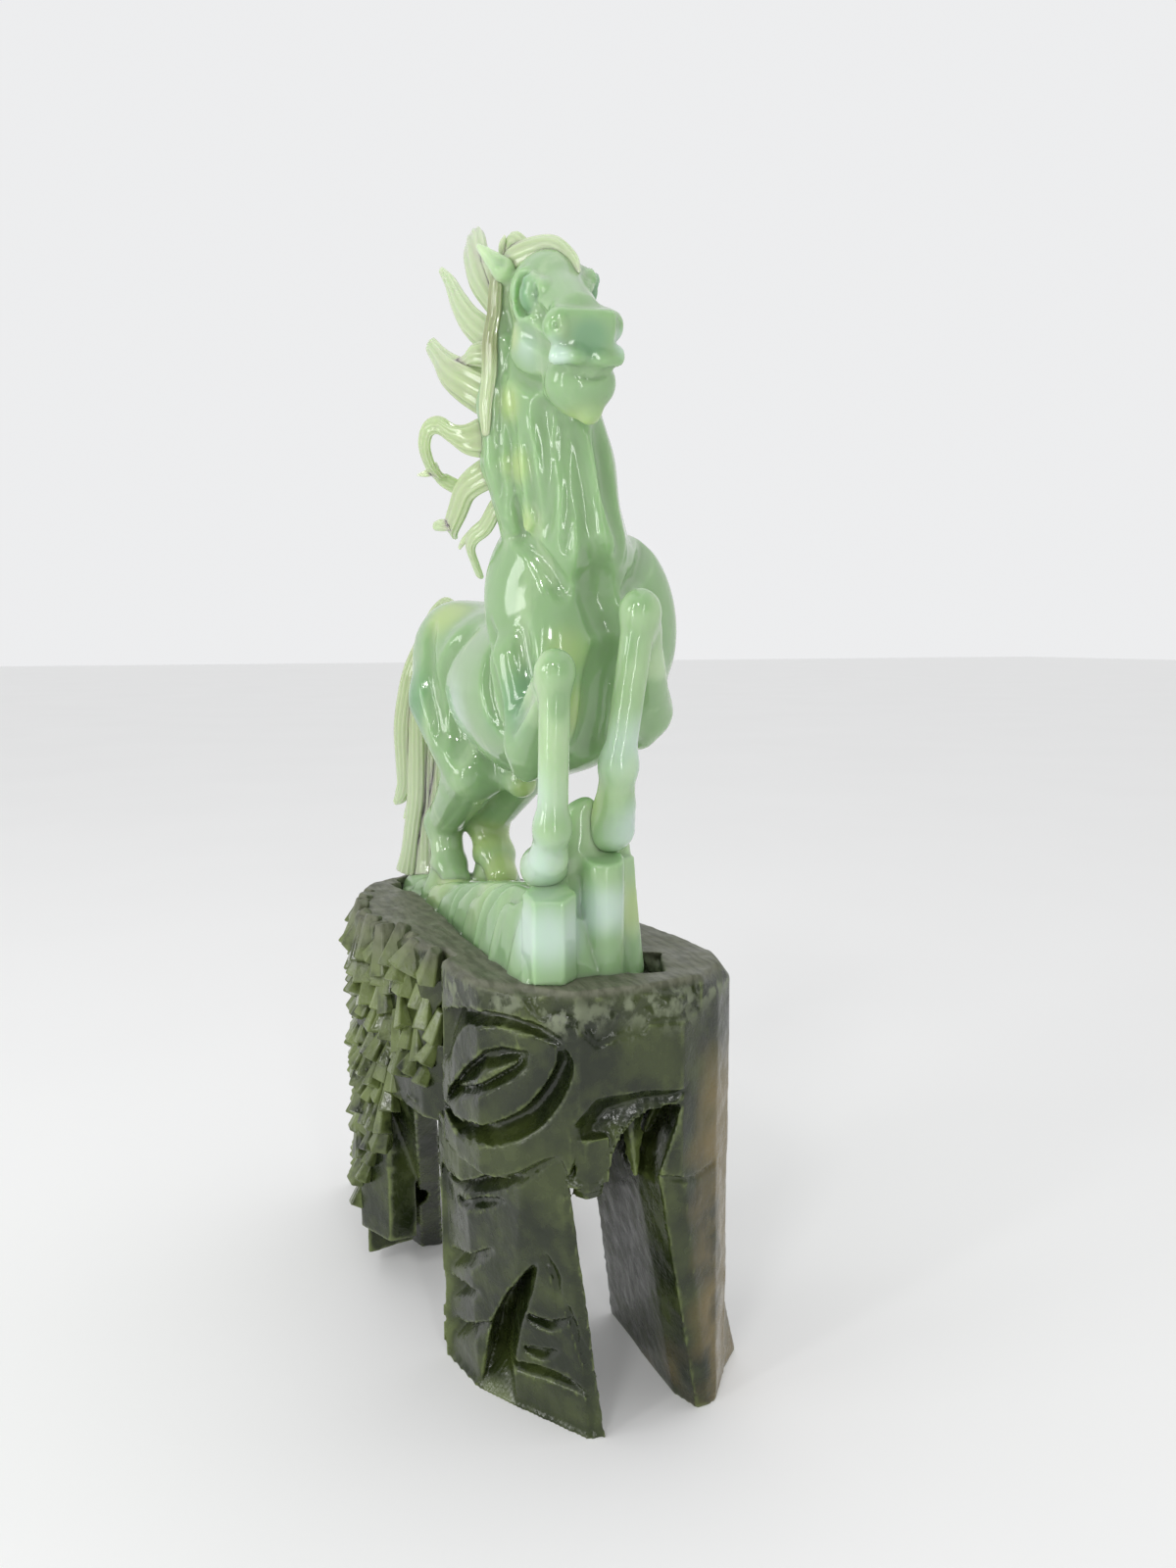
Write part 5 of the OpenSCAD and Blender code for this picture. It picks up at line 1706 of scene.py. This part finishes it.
# Painted glow where the stone is thin, in the edge colour, broken up by the mottle.
thin_glow = math_node(wear_and_glow, "MULTIPLY_ADD", spread_out(wear_and_glow, g_in.outputs["Depth"], 0.0, 0.42), -0.26, 0.26)
thin_glow = math_node(wear_and_glow, "MULTIPLY", thin_glow, spread_out(wear_and_glow, mottle, 0.38, 0.60))
colour = mix_colour(wear_and_glow, thin_glow, colour, g_in.outputs["Edge Colour"])
stroked = spread_out(wear_and_glow, strokes, 0.44, 0.62)
scuff = math_node(wear_and_glow, "MULTIPLY", g_in.outputs["Scuffed"], stroked, clamp=True)
scuff = math_node(wear_and_glow, "MULTIPLY", scuff, 0.75)
SCUFF_COLOUR = (0.22, 0.25, 0.16, 1)
colour = mix_colour(wear_and_glow, scuff, colour, SCUFF_COLOUR)
top = math_node(wear_and_glow, "MULTIPLY", g_in.outputs["Flat Top"], 0.9)
SCRATCH_COLOUR = (0.085, 0.09, 0.055, 1)
scratched = spread_out(wear_and_glow, scratch, 0.40, 0.62)
ground = mix_colour(wear_and_glow, scratched, g_in.outputs["Top Colour"], SCRATCH_COLOUR)
colour = mix_colour(wear_and_glow, top, colour, ground)
wear_and_glow.links.new(colour, g_out.inputs["Colour"])
rough = math_node(wear_and_glow, "MULTIPLY_ADD", spread_out(wear_and_glow, patch, 0.35, 0.65), 0.18, 0.14)
rough = math_node(wear_and_glow, "MULTIPLY_ADD", scuff, 0.45, rough)
rough = math_node(wear_and_glow, "MULTIPLY_ADD", top, 0.30, rough, clamp=True)
wear_and_glow.links.new(rough, g_out.inputs["Roughness"])
height = math_node(wear_and_glow, "MULTIPLY_ADD", grit, 0.16, math_node(wear_and_glow, "MULTIPLY", strokes, 0.55))
height = math_node(wear_and_glow, "MULTIPLY_ADD", math_node(wear_and_glow, "MULTIPLY", scratch, top), 0.6, height)
wear_and_glow.links.new(height, g_out.inputs["Height"])
print("dark stone wear and glow has", len(wear_and_glow.nodes), "nodes")


# %% A dark material around the group
def dark_jade(material, dark, light, glow, bump):
    material.use_nodes = True
    tree = material.node_tree
    shader = tree.nodes["Principled BSDF"]
    stone = node(tree, "ShaderNodeGroup", node_tree=wear_and_glow)
    for name, value in (("Edge", "edge"), ("Scuffed", "scuffed"), ("Ochre", "ochre"),
                        ("Flat Top", "flat_top"), ("Depth", "depth")):
        tree.links.new(stored(tree, value), stone.inputs[name])
    stone.inputs["Dark Colour"].default_value = (*dark, 1)
    stone.inputs["Light Colour"].default_value = (*light, 1)
    stone.inputs["Edge Colour"].default_value = (0.30, 0.38, 0.12, 1)
    stone.inputs["Ochre Colour"].default_value = (0.15, 0.11, 0.032, 1)
    stone.inputs["Top Colour"].default_value = (0.15, 0.155, 0.105, 1)
    stone.inputs["Edge Glow"].default_value = glow
    tree.links.new(stone.outputs["Colour"], shader.inputs["Base Color"])
    tree.links.new(stone.outputs["Roughness"], shader.inputs["Roughness"])
    raised = node(tree, "ShaderNodeBump")
    raised.inputs["Strength"].default_value = bump
    raised.inputs["Distance"].default_value = 0.0007
    tree.links.new(stone.outputs["Height"], raised.inputs["Height"])
    tree.links.new(raised.outputs["Normal"], shader.inputs["Normal"])
    shader.inputs["IOR"].default_value = 1.5
    print(material.name, "mixed")


dark_stone = bpy.data.materials.new("dark jade")
dark_jade(dark_stone, dark=(0.010, 0.016, 0.004), light=(0.048, 0.064, 0.016), glow=0.35, bump=0.6)
dark_jade(bark_stone, dark=(0.009, 0.014, 0.004), light=(0.042, 0.056, 0.015), glow=0.30, bump=0.5)
dress(dark_stone, stand_piece)
dress(bark_stone, bark_piece)

# %% [markdown]
# ## What each stone rides on
# The horse, its hair and the rock are one carving that lifts off the stand, so they ride
# on the figure. The block, its legs and the bark ride on the stand. Each piece stands
# for the plain solids of the same name in the frame.

# %% Tie the pieces to the frame
figure_rows = ((horse_piece, ("torso", "neck", "head", "lower_jaw", "foreleg_right", "foreleg_left",
                              "hind_leg_right", "hind_leg_left")),
               (mane_piece, ("mane",)), (forelock_piece, ("forelock",)), (tail_piece, ("tail",)),
               (rock_piece, ("rock", "rock_columns", "hoof_bridge")))
stand_rows = ((stand_piece, ("stand_block", "leg_front_right", "leg_front_left", "leg_rear_right",
                             "leg_rear_left", "knot_boss", "arch_drips")),
              (bark_piece, ("bark_chips",)))
for body, finish, rows in (("figure", "pale_jade", figure_rows), ("stand", "dark_jade", stand_rows)):
    for piece, solids in rows:
        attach(piece, body)
        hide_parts(*solids)
        print(piece.name, "rides on", body, "for", len(solids), "solids")

# %% [markdown]
# ## The table, the light and the camera
# Polished stone shows what it reflects. The room is brightest behind the stones and
# overhead, and dimmer in front, so that the carved fronts keep their colour. Panels that
# the camera can't see give the bright lights on the neck, the shoulders and the flank.
# They stand to the sides, because one above the camera would wash the colour out.

# %% The floor
floor_mesh = bpy.data.meshes.new("floor")
FLOOR_REACH = 8
floor_corners = [(x * FLOOR_REACH, y * FLOOR_REACH, 0) for x, y in ((-1, -1), (1, -1), (1, 1), (-1, 1))]
floor_mesh.from_pydata(floor_corners, [], [(0, 1, 2, 3)])
floor = into_scene("floor", floor_mesh)
paper = bpy.data.materials.new("pale paper")
paper.use_nodes = True
paper_shader = paper.node_tree.nodes["Principled BSDF"]
sheet = paper.node_tree
fibres = noise_of(sheet, node(sheet, "ShaderNodeTexCoord").outputs["Object"], 0.2, 2.0)
paper_colour = mix_colour(sheet, fibres, (0.77, 0.77, 0.765, 1), (0.80, 0.80, 0.795, 1))
sheet.links.new(paper_colour, paper_shader.inputs["Base Color"])
paper_shader.inputs["Roughness"].default_value = 0.9
paper_shader.inputs["Emission Color"].default_value = (1, 1, 1, 1)
paper_shader.inputs["Emission Strength"].default_value = 0.10
paper_shader.inputs["Specular IOR Level"].default_value = 0.1
floor.data.materials.append(paper)
floor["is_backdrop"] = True

# %% The light
bpy.context.scene.view_settings.view_transform = "Standard"
room = bpy.data.worlds.new("bright room")
bpy.context.scene.world = room
room.use_nodes = True
sky = room.node_tree
towards = node(sky, "ShaderNodeTexCoord").outputs["Generated"]
before = node(sky, "ShaderNodeVectorMath", operation="DOT_PRODUCT")
before.inputs[1].default_value = (0.91, -0.41, 0.0)
sky.links.new(towards, before.inputs[0])
upward = node(sky, "ShaderNodeSeparateXYZ")
sky.links.new(towards, upward.inputs[0])
dim = spread_out(sky, before.outputs["Value"], -0.25, 0.55)
room_light = math_node(sky, "MULTIPLY_ADD", dim, -0.47, 0.86)
overhead = spread_out(sky, upward.outputs["Z"], 0.62, 0.85)
room_light = math_node(sky, "MULTIPLY_ADD", overhead, 0.35, room_light)
sky.nodes["Background"].inputs["Color"].default_value = (0.985, 0.99, 1.0, 1)
sky.links.new(room_light, sky.nodes["Background"].inputs["Strength"])


def panel(name, place, aim, wide, tall, brightness):
    """A lit rectangle, hidden from the camera, in metres."""
    lamp = bpy.data.lights.new(name, "AREA")
    lamp.shape = "RECTANGLE"
    lamp.size, lamp.size_y = wide, tall
    lamp.energy = brightness * wide * tall * math.pi
    held = into_scene(name, lamp)
    held.location = place
    held.visible_camera = False
    held.rotation_euler = (Vector(aim) - Vector(place)).to_track_quat("-Z", "Y").to_euler()
    print(name, "power:", round(lamp.energy, 1), "W")


carving_middle = (0.0, 0.0, 0.17)
strip_aim = (0.05, 0, 0.33)
panel("left strip", (0.26, -0.60, 0.33), strip_aim, wide=0.05, tall=0.62, brightness=8)
panel("right strip", (0.68, -0.10, 0.33), strip_aim, wide=0.05, tall=0.62, brightness=8)
panel("window", (0.85, -0.75, 0.95), carving_middle, wide=0.20, tall=0.16, brightness=26)
panel("side window", (-0.05, -1.3, 0.45), carving_middle, wide=0.45, tall=0.40, brightness=5)

# %% The camera
camera = into_scene("camera", bpy.data.cameras.new("camera"))
bpy.context.scene.camera = camera
camera.data.sensor_fit = "VERTICAL"
camera.data.sensor_height = 36.0
camera.data.lens = 27.045
camera.data.clip_start = 0.01
camera.location = (0.3206, -0.1145, 0.1956)
tilt, swing = math.radians(7.2), math.radians(24)
level = math.cos(tilt)
view_line = Vector((-math.cos(swing) * level, math.sin(swing) * level, -math.sin(tilt)))
camera.rotation_euler = view_line.to_track_quat("-Z", "Y").to_euler()
print("camera at", tuple(camera.location))

# %% Compare the sizes and finish
new_low, new_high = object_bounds()
sizes = {"cad": [list(cad_low), list(cad_high)], "visual": [list(new_low), list(new_high)]}
for k, axis_name in enumerate("xyz"):
    print(axis_name, "low moves", round((new_low[k] - cad_low[k]) * 1000, 2), "mm, high moves",
          round((new_high[k] - cad_high[k]) * 1000, 2), "mm")
